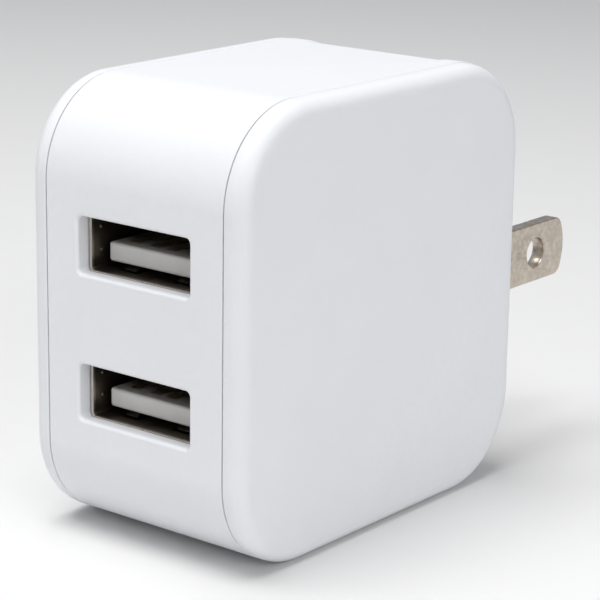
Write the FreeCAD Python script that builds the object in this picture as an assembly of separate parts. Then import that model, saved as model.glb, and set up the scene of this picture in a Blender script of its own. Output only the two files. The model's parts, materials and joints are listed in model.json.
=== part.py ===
"""Two-port USB wall charger with a fold-up plug of two flat blades.

Millimetres. +Z is up and +Y points to the wall, so the ports face -Y and the open
blades reach towards +Y. The origin is the centre of the housing's bottom face.
"""
import FreeCAD, Part
import math
import os

V = FreeCAD.Vector
X_AXIS = V(1, 0, 0)
Y_AXIS = V(0, 1, 0)
Z_AXIS = V(0, 0, 1)

# Housing: a centre band closed by two side covers
body_width = 25.7
body_depth = 43.0
body_height = 43.0
corner_radius = 9.2          # of the rounded-square side profile
bay_corner_radius = 8.6      # the band's upper back corner, beside the plug bay
wall = 1.8
cover_rim = 2.2              # from the outer side face in to the seam
cover_edge_radius = 1.5
seam_gap = 0.12
lip_thickness = 1.0          # of the cover's lip inside the band
lip_depth = 1.2
lip_clearance = 0.1

# Port windows in the front wall
port_pitch = 14.0
window_width = 13.5
window_height = 5.4
window_corner_radius = 0.5
window_edge_radius = 0.35
socket_setback = 1.4         # front face of the housing to the socket's metal shell

# USB sockets
shell_width = 13.1
shell_height = 5.72
shell_length = 13.5
shell_sheet = 0.3
shell_corner_radius = 0.6
shell_clearance = 0.1        # to the pocket in the front wall
tongue_width = 11.1
tongue_thickness = 1.84
tongue_setback = 1.55        # from the shell's front edge
tongue_drop = 0.95           # tongue centre below the socket centre
tongue_chamfer = 0.3
tongue_root = 0.5            # how far the tongue runs into its block
insulator_length = 3.6       # moulded block that closes the shell's rear
insulator_clearance = 0.05
contact_width = 1.2
contact_thickness = 0.3
contact_stand = 0.12         # the contact's height above the tongue
contact_xs = (-3.5, -1.0, 1.0, 3.5)
contact_tail_pitch = 1.1
shell_tab_start = 0.62       # place of the board tabs along the shell, as a share of its length
shell_tab_length = 1.6
contact_front_setback = 1.2  # from the tongue's front edge
tail_room = 0.5              # insulator to the first bend of the tails
spring_slot_width = 2.2
spring_slot_length = 6.0
spring_leaf_width = 1.4
spring_leaf_inset = 0.25     # how far the shell's spring leaves stand inwards
spring_leaf_x = 3.2
cut_margin = 0.01            # cutting shapes pass the face they open

# Plug blades, to the flat two-pin standard
blade_pitch = 12.7
blade_thickness = 1.5
blade_width = 6.3
blade_length = 17.9          # beyond the wall face
blade_tip_corner = 1.3       # radius where the tip meets the long edges
blade_tip_bulge = 0.9        # how far the tip bows out
blade_hole_radius = 1.6
blade_hole_chamfer = 0.25
blade_hole_reach = 12.5      # wall face to the hole's centre
blade_neck_width = 4.0       # where the blade is moulded into the carrier
pivot_depth = 5.2            # wall face to the pivot
folded_tip_inset = 0.3       # folded tips below the top face

# Blade carrier, its bay and its bearings
barrel_radius = 4.2
barrel_room = 0.3
barrel_end_room = 0.3
barrel_chamfer = 0.3
cam_flat = 3.7               # pivot to the detent flats
cam_half_width = 2.7
trunnion_radius = 1.5
running_clearance = 0.05
bay_side_room = 1.2          # blade to the bay's side wall
blade_floor_room = 0.2       # folded blade to the bay's floor
bay_wall = 1.0
retainer_thickness = 1.4
spring_room = 1.2            # barrel to the retainer's front face
lip_rise = 1.2               # height of the retainer's upper lip
hook_gap = 0.05
boss_radius = 2.0
boss_overlap = 0.5           # the bosses run into the bay's lower wall
screw_radius = 0.8
screw_length = 6.0
screw_head_radius = 1.5
screw_head_height = 1.0
screw_clearance = 0.1
screw_recess_width = 0.5
screw_x = 6.2

# Springs behind the carrier
leaf_thickness = 0.3
leaf_half_chord = 3.2
leaf_foot = 0.5
leaf_drop = 0.3              # leaf centre below the pivot
leaf_gap = 0.05
contact_leaf_width = 2.6
detent_leaf_width = 4.4
terminal_length = 2.2        # behind the retainer
terminal_width = 1.2

# Circuit board and what it carries
board_thickness = 1.2
board_standoff = 0.6         # socket shell to board
board_room = 0.3
board_leg_room = 0.5         # board to the plug's boss and retainer
rail_thickness = 0.8
rail_height = 1.3
rail_start = -14.0
rail_end = 3.0
leg_radius = 0.3
leg_stub = 0.8               # leg beyond the solder side
hole_clearance = 0.05
part_standoff = 0.3
input_cap_radius = 4.0
input_cap_length = 13.0
input_cap_y = -1.0
input_cap_zs = (-6.0, -14.2)         # from mid height
output_cap_radius = 3.15
output_cap_length = 9.0
output_cap_ys = (-15.8, -9.1)
cap_groove_radius = 0.35
cap_groove_height = 1.6
cap_edge_radius = 0.4
core_width = 13.0            # transformer core, Y
core_height = 13.0           # Z
core_thickness = 6.0         # X
core_leg = 1.6
core_centre_leg = 2.9
core_yoke = 2.4
transformer_y = 1.6
transformer_rise = 10.5      # above mid height
bobbin_depth = 13.4          # X
bobbin_flange = 0.9
bobbin_wall = 0.6
winding_inset = 0.35
winding_roundness = 0.9      # corner radius as a share of the coil's build
bobbin_pin_grip = 1.8        # how far the pins run into the rail
pin_pitch = 2.5
y_cap_radius = 3.5
y_cap_thickness = 3.0
y_cap_roundness = 0.42       # edge radius as a share of the thickness
y_cap_y = 1.6
y_cap_rise = -0.1
choke_radius = 2.7
choke_length = 7.5
choke_flange = 1.0
choke_waist = 0.6
choke_inset = 7.1            # wall face to the choke
choke_z = 6.1
fuse_radius = 1.4
fuse_length = 6.0
fuse_edge_radius = 0.45
fuse_inset = 13.3            # wall face to the fuse
fuse_z = 4.6
lead_radius = 0.6
lead_inset = 0.75            # towards the middle from its blade
lead_drop_left = 5.4
lead_drop_right = 8.0
lead_bend_radius = 1.5
lead_room = 0.2
chip_leg_thickness = 0.2
chip_leg_width = 0.45
chip_legs_reach = 1.0
chip_room = 0.5              # to the tabs and tails that come through the board
control_chip_size = (4.9, 3.9, 1.5)      # length Z, width Y, height X
control_chip_rise = -12.0                # from mid height
output_chip_size = (4.9, 3.9, 1.5)
output_chip_y = -12.5
output_chip_rise = 14.5
coupler_size = (4.4, 3.6, 1.9)
coupler_rise = 2.6
bridge_size = (4.9, 4.0, 1.6)
bridge_z = 5.6
small_part_length = 2.0
small_part_width = 1.2
small_part_height = 0.6
small_part_pitch = 3.2
small_part_count = 4
small_part_start_y = -18.0
small_part_rise = 2.4
sheet_thickness = 0.2
sheet_gap = 0.1
sheet_inset = 3.3

# Places that follow from the sizes above
front_y = -body_depth / 2
back_y = body_depth / 2
mid_z = body_height / 2
seam_x = body_width / 2 - cover_rim
band_half_width = seam_x - seam_gap / 2
port_zs = (("upper", mid_z + port_pitch / 2), ("lower", mid_z - port_pitch / 2))
shell_front_y = front_y + socket_setback
shell_rear_y = shell_front_y + shell_length
shell_tab_y = shell_front_y + shell_length * shell_tab_start
tongue_front_y = shell_front_y + tongue_setback
insulator_front_y = shell_rear_y - insulator_length
tail_y = shell_rear_y + tail_room

pivot_y = back_y - pivot_depth
blade_reach = pivot_depth + blade_length
pivot_z = body_height - folded_tip_inset - blade_reach
blade_xs = (("left", -blade_pitch / 2), ("right", blade_pitch / 2))
bay_half_width = (blade_pitch + blade_thickness) / 2 + bay_side_room
bay_outer_x = bay_half_width + bay_wall
bay_floor_y = pivot_y - blade_width / 2 - blade_floor_room
bay_bottom_z = pivot_z - barrel_radius - barrel_room
floor_foot_z = pivot_z + math.sqrt((barrel_radius + barrel_room) ** 2 - (pivot_y - bay_floor_y) ** 2)
barrel_half_length = bay_half_width - barrel_end_room
retainer_front_y = pivot_y - barrel_radius - spring_room
retainer_back_y = retainer_front_y - retainer_thickness
screw_z = bay_bottom_z - bay_wall - boss_radius + boss_overlap
leaf_z = pivot_z - leaf_drop
retainer_lip_z = max(floor_foot_z, leaf_z + leaf_half_chord + leaf_foot) + barrel_room

board_inner_x = -(shell_width / 2 + board_standoff)
board_outer_x = board_inner_x - board_thickness
part_x = board_inner_x + part_standoff
choke_y = back_y - choke_inset
fuse_y = back_y - fuse_inset
fuse_pitch = fuse_length + 4 * leg_radius
transformer_x = part_x + bobbin_depth / 2
transformer_z = mid_z + transformer_rise
control_chip_y = shell_tab_y + shell_tab_length + chip_room + chip_legs_reach + control_chip_size[1] / 2
coupler_y = tail_y + contact_thickness + chip_room + chip_legs_reach + coupler_size[1] / 2
terminal_z = leaf_z - leaf_half_chord - leaf_foot       # lower face of the contact springs' terminals
board_rear_y = retainer_back_y - screw_head_height - board_leg_room
board_leg_z = screw_z - boss_radius - board_leg_room


def box(x0, x1, y0, y1, z0, z1):
    """A block between two corners."""
    return Part.makeBox(x1 - x0, y1 - y0, z1 - z0, V(x0, y0, z0))


def rod(radius, start, direction, length):
    """A round bar from a start point."""
    return Part.makeCylinder(radius, length, V(*start), direction)


def join(shapes):
    """One solid from shapes that overlap or touch."""
    whole = shapes[0]
    for shape in shapes[1:]:
        whole = whole.fuse(shape)
    return whole


def edges_on(shape, test):
    """The edges whose every end point passes the test."""
    return [edge for edge in shape.Edges if all(test(v.Point) for v in edge.Vertexes)]


def near(value, target):
    return abs(value - target) < 1e-4


def side_profile(inset, top_back_radius=corner_radius):
    """The housing's rounded-square outline, in the YZ plane, drawn in by an inset."""
    y0, y1 = front_y + inset, back_y - inset
    z0, z1 = inset, body_height - inset
    r = max(corner_radius - inset, 0.2)
    rb = max(top_back_radius - inset, 0.2)
    corners = [(y0, z0, r, 180), (y1, z0, r, 270), (y1, z1, rb, 0), (y0, z1, r, 90)]
    arcs = []
    for y, z, radius, start in corners:
        cy = y + radius if y == y0 else y - radius
        cz = z + radius if z == z0 else z - radius
        arcs.append([V(0, cy + radius * math.cos(math.radians(start + turn)),
                       cz + radius * math.sin(math.radians(start + turn)))
                     for turn in (0, 45, 90)])
    edges = []
    for here, after in zip(arcs, arcs[1:] + arcs[:1]):
        edges.append(Part.Arc(*here).toShape())
        edges.append(Part.LineSegment(here[2], after[0]).toShape())
    return Part.Face(Part.Wire(edges))


def slab(x0, x1, inset, top_back_radius=corner_radius):
    """The side profile as a solid between two X planes."""
    face = side_profile(inset, top_back_radius)
    face.translate(V(x0, 0, 0))
    return face.extrude(V(x1 - x0, 0, 0))


def rounded_bar(width, height, radius, y0, y1, z):
    """A bar along Y with rounded edges, centred on X = 0 at height z."""
    bar = box(-width / 2, width / 2, y0, y1, z - height / 2, z + height / 2)
    return bar.makeFillet(radius, [e for e in bar.Edges if near(e.Length, y1 - y0)])


def leaf(crown_y, width, x):
    """A bowed spring leaf with a foot at each end, its crown towards +Y."""
    foot_y = retainer_front_y + hook_gap / 2
    rise = crown_y - foot_y - leaf_thickness
    radius = (leaf_half_chord ** 2 + rise ** 2) / (2 * rise)
    centre = (x - width / 2, crown_y - radius, leaf_z)
    ring = rod(radius, centre, X_AXIS, width).cut(rod(radius - leaf_thickness, centre, X_AXIS, width))
    keep = box(x - width, x + width, foot_y, crown_y + 1, leaf_z - leaf_half_chord, leaf_z + leaf_half_chord)
    pieces = [ring.common(keep)]
    for side in (-1, 1):
        z_in = leaf_z + side * (leaf_half_chord - leaf_thickness)
        z_out = leaf_z + side * (leaf_half_chord + leaf_foot)
        pieces.append(box(x - width / 2, x + width / 2, foot_y, foot_y + leaf_thickness,
                          min(z_in, z_out), max(z_in, z_out)))
    return join(pieces)


def bent_wire(points, radius, bend):
    """A round wire through points, its corners turned on arcs."""
    points = [V(*p) for p in points]
    edges = []
    start = points[0]
    for before, corner, after in zip(points, points[1:], points[2:]):
        way_in = (corner - before).normalize()
        way_out = (after - corner).normalize()
        half_turn = way_in.getAngle(way_out) / 2
        cut_back = bend * math.tan(half_turn)
        arc_start = corner - way_in * cut_back
        arc_end = corner + way_out * cut_back
        towards_centre = (way_out - way_in).normalize()
        middle = corner + towards_centre * (bend / math.cos(half_turn) - bend)
        edges.append(Part.LineSegment(start, arc_start).toShape())
        edges.append(Part.Arc(arc_start, middle, arc_end).toShape())
        start = arc_end
    edges.append(Part.LineSegment(start, points[-1]).toShape())
    path = Part.Wire(edges)
    ring = Part.Wire(Part.makeCircle(radius, points[0], points[1] - points[0]))
    return path.makePipeShell([ring], True, False)


# ---- housing ----

def port_window(z):
    """The straight window and the pocket that the socket's front edge sits in."""
    window = rounded_bar(window_width, window_height, window_corner_radius,
                         front_y - wall, front_y + 2 * wall, z)
    pocket = rounded_bar(shell_width + 2 * shell_clearance, shell_height + 2 * shell_clearance,
                         shell_corner_radius, shell_front_y - hook_gap, front_y + 2 * wall, z)
    return window, pocket


def bay_tray():
    """Side walls, floor and lower wall of the plug bay, before it is hollowed."""
    tray = box(-bay_outer_x, bay_outer_x, bay_floor_y - bay_wall, back_y,
               bay_bottom_z - bay_wall, body_height)
    bearing_block = box(-bay_outer_x, bay_outer_x, retainer_front_y, bay_floor_y,
                        bay_bottom_z - bay_wall, floor_foot_z)
    return [tray, bearing_block]


def bay_hollow():
    """The open bay, the room behind the barrel and the slots for the trunnions."""
    past = wall + corner_radius
    bay = box(-bay_half_width, bay_half_width, bay_floor_y, back_y + past, bay_bottom_z, body_height + past)
    behind = box(-bay_half_width, bay_half_width, retainer_front_y - wall, bay_floor_y + bay_wall,
                 bay_bottom_z, floor_foot_z)
    bearing = trunnion_radius + running_clearance
    slot = box(-bay_outer_x, bay_outer_x, retainer_front_y - wall, pivot_y,
               pivot_z - bearing, pivot_z + bearing)
    seat = rod(bearing, (-bay_outer_x, pivot_y, pivot_z), X_AXIS, 2 * bay_outer_x)
    return [bay, behind, slot, seat]


def screw_bosses():
    """Two bosses on the back wall, and the pilot holes in them."""
    bosses, pilots = [], []
    length = back_y - wall / 2 - retainer_front_y
    for side in (-1, 1):
        start = (side * screw_x, retainer_front_y, screw_z)
        bosses.append(rod(boss_radius, start, Y_AXIS, length))
        pilots.append(rod(screw_radius + screw_clearance / 2, start, Y_AXIS, screw_length))
    return bosses, pilots


def board_rails():
    """Ribs on the top and bottom walls, either side of the board's edges."""
    rails = []
    for x0 in (board_outer_x - hook_gap - rail_thickness, board_inner_x + hook_gap):
        for z0 in (wall / 2, body_height - wall - rail_height):
            rails.append(box(x0, x0 + rail_thickness, rail_start, rail_end, z0, z0 + rail_height + wall / 2))
    return rails


def centre_band():
    """The rounded-square ring that carries the port face and the plug bay."""
    outer = slab(-band_half_width, band_half_width, 0, bay_corner_radius)
    bosses, pilots = screw_bosses()
    cavity = slab(-body_width, body_width, wall, bay_corner_radius)
    for piece in bay_tray() + bosses + board_rails():
        cavity = cavity.cut(piece)
    band = outer.cut(cavity)
    for hollow in bay_hollow() + pilots:
        band = band.cut(hollow)
    for name, z in port_zs:
        window, pocket = port_window(z)
        band = band.cut(window).cut(pocket)
    rims = edges_on(band, lambda p: near(p.y, front_y) and abs(p.x) < window_width / 2 + 0.1)
    return band.makeFillet(window_edge_radius, rims)


def cover(side):
    """A side cover: a plate with a rounded outer edge and a lip inside the band."""
    seam = side * (seam_x + seam_gap / 2)
    outer_x = side * body_width / 2
    plate = slab(seam, outer_x, 0)
    plate = plate.makeFillet(cover_edge_radius, edges_on(plate, lambda p: near(p.x, outer_x)))
    lip_end = side * (seam_x - lip_depth)
    lip = slab(lip_end, seam + side * wall / 4, wall + lip_clearance)
    hollow = slab(lip_end - side, outer_x - side * wall, wall + lip_clearance + lip_thickness)
    return join([plate, lip]).cut(hollow)


# ---- USB sockets ----

def shell_springs(z):
    """Slots in the shell's top and bottom, and the leaves that stand inwards from them."""
    slots, leaves = [], []
    y0 = shell_front_y + tongue_setback
    half_slot = spring_slot_width / 2
    for side in (-1, 1):
        inner_z = z + side * (shell_height / 2 - shell_sheet)
        outer_z = z + side * shell_height / 2
        for x in (-spring_leaf_x, spring_leaf_x):
            slots.append(box(x - half_slot, x + half_slot, y0, y0 + spring_slot_length,
                             min(inner_z, outer_z) - cut_margin, max(inner_z, outer_z) + cut_margin))
            leaves.append(sprung_leaf(x, inner_z, outer_z, y0, side))
    return slots, leaves


def sprung_leaf(x, inner_z, outer_z, y0, side):
    """One leaf, hinged at its rear end and slanting inwards to its front end."""
    tip = y0 + shell_sheet
    root = y0 + spring_slot_length
    shift = side * spring_leaf_inset
    outline = [(tip, inner_z - shift), (tip, outer_z - shift), (root, outer_z), (root, inner_z)]
    points = [V(x - spring_leaf_width / 2, y, z) for y, z in outline]
    return Part.Face(Part.makePolygon(points + points[:1])).extrude(V(spring_leaf_width, 0, 0))


def shell_tabs(z):
    """The shell's tabs through the board: lists of (y0, y1, z0, z1)."""
    y0, y1 = shell_tab_y, shell_tab_y + shell_tab_length
    half = shell_height / 2
    return [(y0, y1, z + half - shell_sheet, z + half),
            (y0, y1, z - half, z - half + shell_sheet)]


def usb_shell(z):
    """The socket's folded sheet-metal shell."""
    outer = rounded_bar(shell_width, shell_height, shell_corner_radius, shell_front_y, shell_rear_y, z)
    inner = rounded_bar(shell_width - 2 * shell_sheet, shell_height - 2 * shell_sheet,
                        shell_corner_radius - shell_sheet, shell_front_y - 1, shell_rear_y + 1, z)
    slots, leaves = shell_springs(z)
    tube = outer.cut(inner).cut(Part.makeCompound(slots))
    tabs = [box(board_outer_x - leg_stub, -shell_width / 2 + shell_corner_radius + shell_sheet, *limits)
            for limits in shell_tabs(z)]
    return join([tube] + leaves + tabs)


def usb_insulator(z):
    """The tongue and the block that holds the contacts, in one moulding."""
    tongue_z = z - tongue_drop
    tongue = box(-tongue_width / 2, tongue_width / 2, tongue_front_y, insulator_front_y + tongue_root,
                 tongue_z - tongue_thickness / 2, tongue_z + tongue_thickness / 2)
    front = edges_on(tongue, lambda p: near(p.y, tongue_front_y))
    tongue = tongue.makeChamfer(tongue_chamfer, front)
    inside_width = shell_width - 2 * (shell_sheet + insulator_clearance)
    inside_height = shell_height - 2 * (shell_sheet + insulator_clearance)
    block = rounded_bar(inside_width, inside_height, shell_corner_radius - shell_sheet,
                        insulator_front_y, shell_rear_y, z)
    return join([tongue, block]).cut(usb_contacts(z))


def contact_strip(x, index, z):
    """One contact: along the tongue, through the block, then across to the board."""
    half = contact_width / 2
    top = z - tongue_drop + tongue_thickness / 2 + contact_stand
    tail_z = z + (index - 1.5) * contact_tail_pitch
    low, high = sorted((tail_z, top - contact_thickness / 2))
    pad = contact_thickness / 2
    along = box(x - half, x + half, tongue_front_y + contact_front_setback, shell_rear_y,
                top - contact_thickness, top)
    riser = box(x - half, x + half, shell_rear_y - contact_thickness, shell_rear_y, low - pad, high + pad)
    rear = box(x - half, x + half, shell_rear_y - contact_thickness, tail_y + contact_thickness,
               tail_z - pad, tail_z + pad)
    across = box(board_outer_x - leg_stub, x + half, tail_y, tail_y + contact_thickness,
                 tail_z - pad, tail_z + pad)
    return join([along, riser, rear, across])


def usb_contacts(z):
    """The socket's four contacts, as separate solids."""
    return Part.makeCompound([contact_strip(x, i, z) for i, x in enumerate(contact_xs)])


# ---- folding plug ----

def blade(x):
    """One flat blade with rounded tip corners, a chamfered hole and a moulded-in tail."""
    tip_y = back_y + blade_length
    half_t, half_w = blade_thickness / 2, blade_width / 2
    shoulder_y = pivot_y + barrel_radius / 3
    body = box(x - half_t, x + half_t, shoulder_y, tip_y, pivot_z - half_w, pivot_z + half_w)
    bow_radius = (half_w ** 2 + blade_tip_bulge ** 2) / (2 * blade_tip_bulge)
    bow_y = tip_y - bow_radius
    bow = rod(bow_radius, (x - half_t, bow_y, pivot_z), X_AXIS, blade_thickness)
    straight = box(x - half_t, x + half_t, shoulder_y, bow_y, pivot_z - half_w, pivot_z + half_w)
    body = body.common(join([bow, straight]))
    tip_corners = edges_on(body, lambda p: near(p.y, tip_y - blade_tip_bulge))
    body = body.makeFillet(blade_tip_corner, [e for e in tip_corners if near(e.Length, blade_thickness)])
    hole_y = back_y + blade_hole_reach
    hole = [rod(blade_hole_radius, (x - half_t, hole_y, pivot_z), X_AXIS, blade_thickness)]
    for side in (-1, 1):
        rim = V(x + side * half_t, hole_y, pivot_z)
        hole.append(Part.makeCone(blade_hole_radius + blade_hole_chamfer, blade_hole_radius,
                                  blade_hole_chamfer, rim, V(-side, 0, 0)))
    neck = box(x - half_t, x + half_t, pivot_y - barrel_radius, shoulder_y,
               pivot_z - blade_neck_width / 2, pivot_z + blade_neck_width / 2)
    tail = rod(barrel_radius, (x - half_t, pivot_y, pivot_z), X_AXIS, blade_thickness)
    return join([body.cut(join(hole)), neck.common(tail)])


def blade_carrier(blades):
    """The moulded barrel that the blades turn in, with its trunnions and detent flats."""
    barrel = rod(barrel_radius, (-barrel_half_length, pivot_y, pivot_z), X_AXIS, 2 * barrel_half_length)
    barrel = barrel.makeChamfer(barrel_chamfer, [e for e in barrel.Edges if near(abs(e.CenterOfMass.x),
                                                                                 barrel_half_length)])
    far = 2 * barrel_radius
    flat_back = box(-cam_half_width, cam_half_width, pivot_y - far, pivot_y - cam_flat,
                    pivot_z - far, pivot_z + far)
    flat_top = box(-cam_half_width, cam_half_width, pivot_y - far, pivot_y + far,
                   pivot_z + cam_flat, pivot_z + far)
    trunnions = rod(trunnion_radius, (-bay_outer_x, pivot_y, pivot_z), X_AXIS, 2 * bay_outer_x)
    return join([barrel.cut(flat_back).cut(flat_top), trunnions]).cut(Part.makeCompound(blades))


def plug_retainer():
    """The plate that closes the bearing slots and holds the springs."""
    plate = box(-bay_outer_x, bay_outer_x, retainer_back_y, retainer_front_y - hook_gap,
                screw_z - boss_radius, retainer_lip_z + lip_rise)
    lip = box(-bay_outer_x, bay_outer_x, retainer_front_y - wall / 2, bay_floor_y - bay_wall - hook_gap,
              retainer_lip_z, retainer_lip_z + lip_rise)
    pieces = [plate, lip]
    bearing = rod(trunnion_radius + running_clearance, (-bay_outer_x, pivot_y, pivot_z),
                  X_AXIS, 2 * bay_outer_x)
    for side in (-1, 1):
        x0, x1 = sorted((side * bay_half_width, side * bay_outer_x))
        finger = box(x0, x1, retainer_front_y - wall / 2, pivot_y,
                     pivot_z - trunnion_radius, pivot_z + trunnion_radius)
        pieces.append(finger.cut(bearing))
    cuts = []
    for side in (-1, 1):
        start = (side * screw_x, retainer_back_y - 1, screw_z)
        cuts.append(rod(screw_radius + screw_clearance, start, Y_AXIS, retainer_thickness + 2))
    for name, x in blade_xs:
        half = terminal_width / 2 + hook_gap
        z0 = terminal_z - hook_gap
        cuts.append(box(x - half, x + half, retainer_back_y - 1, retainer_front_y,
                        z0, z0 + leaf_thickness + 2 * hook_gap))
    return join(pieces).cut(Part.makeCompound(cuts))


def retainer_screws():
    """The two screws that hold the retainer, as separate solids."""
    screws = []
    for side in (-1, 1):
        head_y = retainer_back_y - screw_head_height
        head = rod(screw_head_radius, (side * screw_x, head_y, screw_z), Y_AXIS, screw_head_height)
        head = head.makeFillet(screw_head_height / 2, edges_on(head, lambda p: near(p.y, head_y)))
        half = screw_recess_width / 2
        recess = [box(side * screw_x - a, side * screw_x + a, head_y - 1, head_y + screw_head_height / 2,
                      screw_z - b, screw_z + b)
                  for a, b in ((half, 2 * half), (2 * half, half))]
        shank = rod(screw_radius, (side * screw_x, head_y + screw_head_height / 2, screw_z),
                    Y_AXIS, screw_length)
        screws.append(join([head.cut(join(recess)), shank]))
    return Part.makeCompound(screws)


def contact_spring(x):
    """The leaf that presses on a blade's tail, with its terminal through the retainer."""
    spring = leaf(pivot_y - barrel_radius - leaf_gap, contact_leaf_width, x)
    z0 = terminal_z
    half = terminal_width / 2
    terminal = box(x - half, x + half, retainer_back_y - terminal_length,
                   retainer_front_y + hook_gap / 2 + leaf_thickness, z0, z0 + leaf_thickness)
    return join([spring, terminal])


def detent_spring():
    """The leaf that holds the carrier at its two flats."""
    return leaf(pivot_y - cam_flat - leaf_gap, detent_leaf_width, 0)


def input_lead(x, drop):
    """An insulated wire from a spring's terminal to the board."""
    y = retainer_back_y - screw_head_height - lead_radius - lead_room
    top = terminal_z - hook_gap
    corner_z = terminal_z - drop
    return bent_wire([(x, y, top), (x, y, corner_z), (board_inner_x, y, corner_z)],
                     lead_radius, lead_bend_radius)


# ---- circuit board ----

def leg_places():
    """Every leg through the board as (y, z), by the part that it belongs to."""
    places = {}
    for index, dz in enumerate(input_cap_zs):
        places["input_cap_%d" % index] = [(input_cap_y, mid_z + dz + s * pin_pitch) for s in (-0.5, 0.5)]
    for index, y in enumerate(output_cap_ys):
        places["output_cap_%d" % index] = [(y, mid_z + s * pin_pitch) for s in (-0.5, 0.5)]
    pin_z = (core_height - core_yoke) / 2
    places["transformer"] = [(transformer_y + i * pin_pitch, transformer_z + s * pin_z)
                             for s in (-1, 1) for i in (-1, 0, 1)]
    places["y_cap"] = [(y_cap_y + s * pin_pitch, mid_z + y_cap_rise) for s in (-0.5, 0.5)]
    places["choke"] = [(choke_y, choke_z + s * pin_pitch) for s in (-0.5, 0.5)]
    places["fuse"] = [(fuse_y + s * fuse_pitch / 2, fuse_z) for s in (-1, 1)]
    return places


def legs(name, from_x):
    """A part's legs, from inside the part to past the board's solder side."""
    return [rod(leg_radius, (board_outer_x - leg_stub, y, z), X_AXIS, from_x - board_outer_x + leg_stub)
            for y, z in leg_places()[name]]


def circuit_board():
    """The board: one sheet notched round the plug, with a hole for every leg."""
    inset = wall + board_room
    board = slab(board_outer_x, board_inner_x, inset)
    notch = box(board_outer_x - 1, board_inner_x + 1, board_rear_y, body_depth, board_leg_z, 2 * body_height)
    holes = []
    for places in leg_places().values():
        for y, z in places:
            start = (board_outer_x - 1, y, z)
            holes.append(rod(leg_radius + hole_clearance, start, X_AXIS, board_thickness + 2))
    room = hole_clearance
    for name, z in port_zs:
        for y0, y1, z0, z1 in shell_tabs(z):
            holes.append(box(board_outer_x - 1, board_inner_x + 1,
                             y0 - room, y1 + room, z0 - room, z1 + room))
        for i in range(len(contact_xs)):
            tail_z = z + (i - 1.5) * contact_tail_pitch
            half = contact_thickness / 2 + room
            holes.append(box(board_outer_x - 1, board_inner_x + 1, tail_y - room,
                             tail_y + contact_thickness + room, tail_z - half, tail_z + half))
    return board.cut(notch).cut(Part.makeCompound(holes))


def capacitor_can(y, z, radius, length, name):
    """A round electrolytic capacitor standing on the board, with a crimp near its base."""
    can = rod(radius, (part_x, y, z), X_AXIS, length)
    ends = [e for e in can.Edges if near(e.Length, 2 * math.pi * radius)]
    can = can.makeFillet(cap_edge_radius, ends)
    crimp = Part.makeTorus(radius + cap_groove_radius / 2, cap_groove_radius,
                           V(part_x + cap_groove_height, y, z), X_AXIS)
    return join([can.cut(crimp)] + legs(name, part_x + cap_edge_radius))


def transformer_core():
    """The ferrite core: a yoke at each end, two outer legs and a centre leg."""
    x, z = transformer_x, transformer_z
    half_w, half_h, half_t = core_width / 2, core_height / 2, core_thickness / 2
    block = box(x - half_t, x + half_t, transformer_y - half_w, transformer_y + half_w,
                z - half_h, z + half_h)
    window_h = half_h - core_yoke
    for side in (-1, 1):
        y0, y1 = sorted((transformer_y + side * core_centre_leg / 2,
                         transformer_y + side * (half_w - core_leg)))
        block = block.cut(box(x - core_thickness, x + core_thickness, y0, y1, z - window_h, z + window_h))
    return block


def transformer_bobbin():
    """The bobbin: a tube round the centre leg with a flange and a pin rail at each end."""
    x, z = transformer_x, transformer_z
    room = insulator_clearance
    window_h = core_height / 2 - core_yoke - room
    inner_x, inner_y = core_thickness / 2 + room, core_centre_leg / 2 + room
    flange_y = core_width / 2 - core_leg - room
    outer_x = bobbin_depth / 2
    pieces = []
    tube_x, tube_y = inner_x + bobbin_wall, inner_y + bobbin_wall
    pieces.append(box(x - tube_x, x + tube_x, transformer_y - tube_y, transformer_y + tube_y,
                      z - window_h, z + window_h))
    for side in (-1, 1):
        z0, z1 = sorted((z + side * window_h, z + side * (window_h - bobbin_flange)))
        pieces.append(box(x - outer_x, x + outer_x, transformer_y - flange_y,
                          transformer_y + flange_y, z0, z1))
        r0, r1 = sorted((z + side * (window_h - bobbin_flange), z + side * core_height / 2))
        pieces.append(box(x - outer_x, x - inner_x - bobbin_wall, transformer_y - flange_y,
                          transformer_y + flange_y, r0, r1))
    bore = box(x - inner_x, x + inner_x, transformer_y - inner_y, transformer_y + inner_y,
               z - core_height, z + core_height)
    return join(pieces).cut(bore).cut(transformer_pins())


def transformer_pins():
    """The six pins in the bobbin's rails, as separate solids."""
    return Part.makeCompound(legs("transformer", part_x + bobbin_pin_grip))


def transformer_winding():
    """The wound and taped coil between the bobbin's flanges."""
    x, z = transformer_x, transformer_z
    room = insulator_clearance
    half_z = core_height / 2 - core_yoke - bobbin_flange - 2 * room
    inner_x = core_thickness / 2 + bobbin_wall + 2 * room
    inner_y = core_centre_leg / 2 + bobbin_wall + 2 * room
    outer_x = bobbin_depth / 2 - winding_inset
    outer_y = core_width / 2 - core_leg - winding_inset
    coil = box(x - outer_x, x + outer_x, transformer_y - outer_y, transformer_y + outer_y,
               z - half_z, z + half_z)
    coil = coil.makeFillet((outer_y - inner_y) * winding_roundness,
                           [e for e in coil.Edges if near(e.Length, 2 * half_z)])
    return coil.cut(box(x - inner_x, x + inner_x, transformer_y - inner_y, transformer_y + inner_y,
                        z - core_height, z + core_height))


def y_capacitor():
    """The disc capacitor across the transformer, lying level on its two legs."""
    z = mid_z + y_cap_rise
    x = part_x + y_cap_radius
    disc = rod(y_cap_radius, (x, y_cap_y, z - y_cap_thickness / 2), Z_AXIS, y_cap_thickness)
    disc = disc.makeFillet(y_cap_thickness * y_cap_roundness, [e for e in disc.Edges
                                                               if near(e.Length, 2 * math.pi * y_cap_radius)])
    return join([disc] + legs("y_cap", x))


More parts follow.
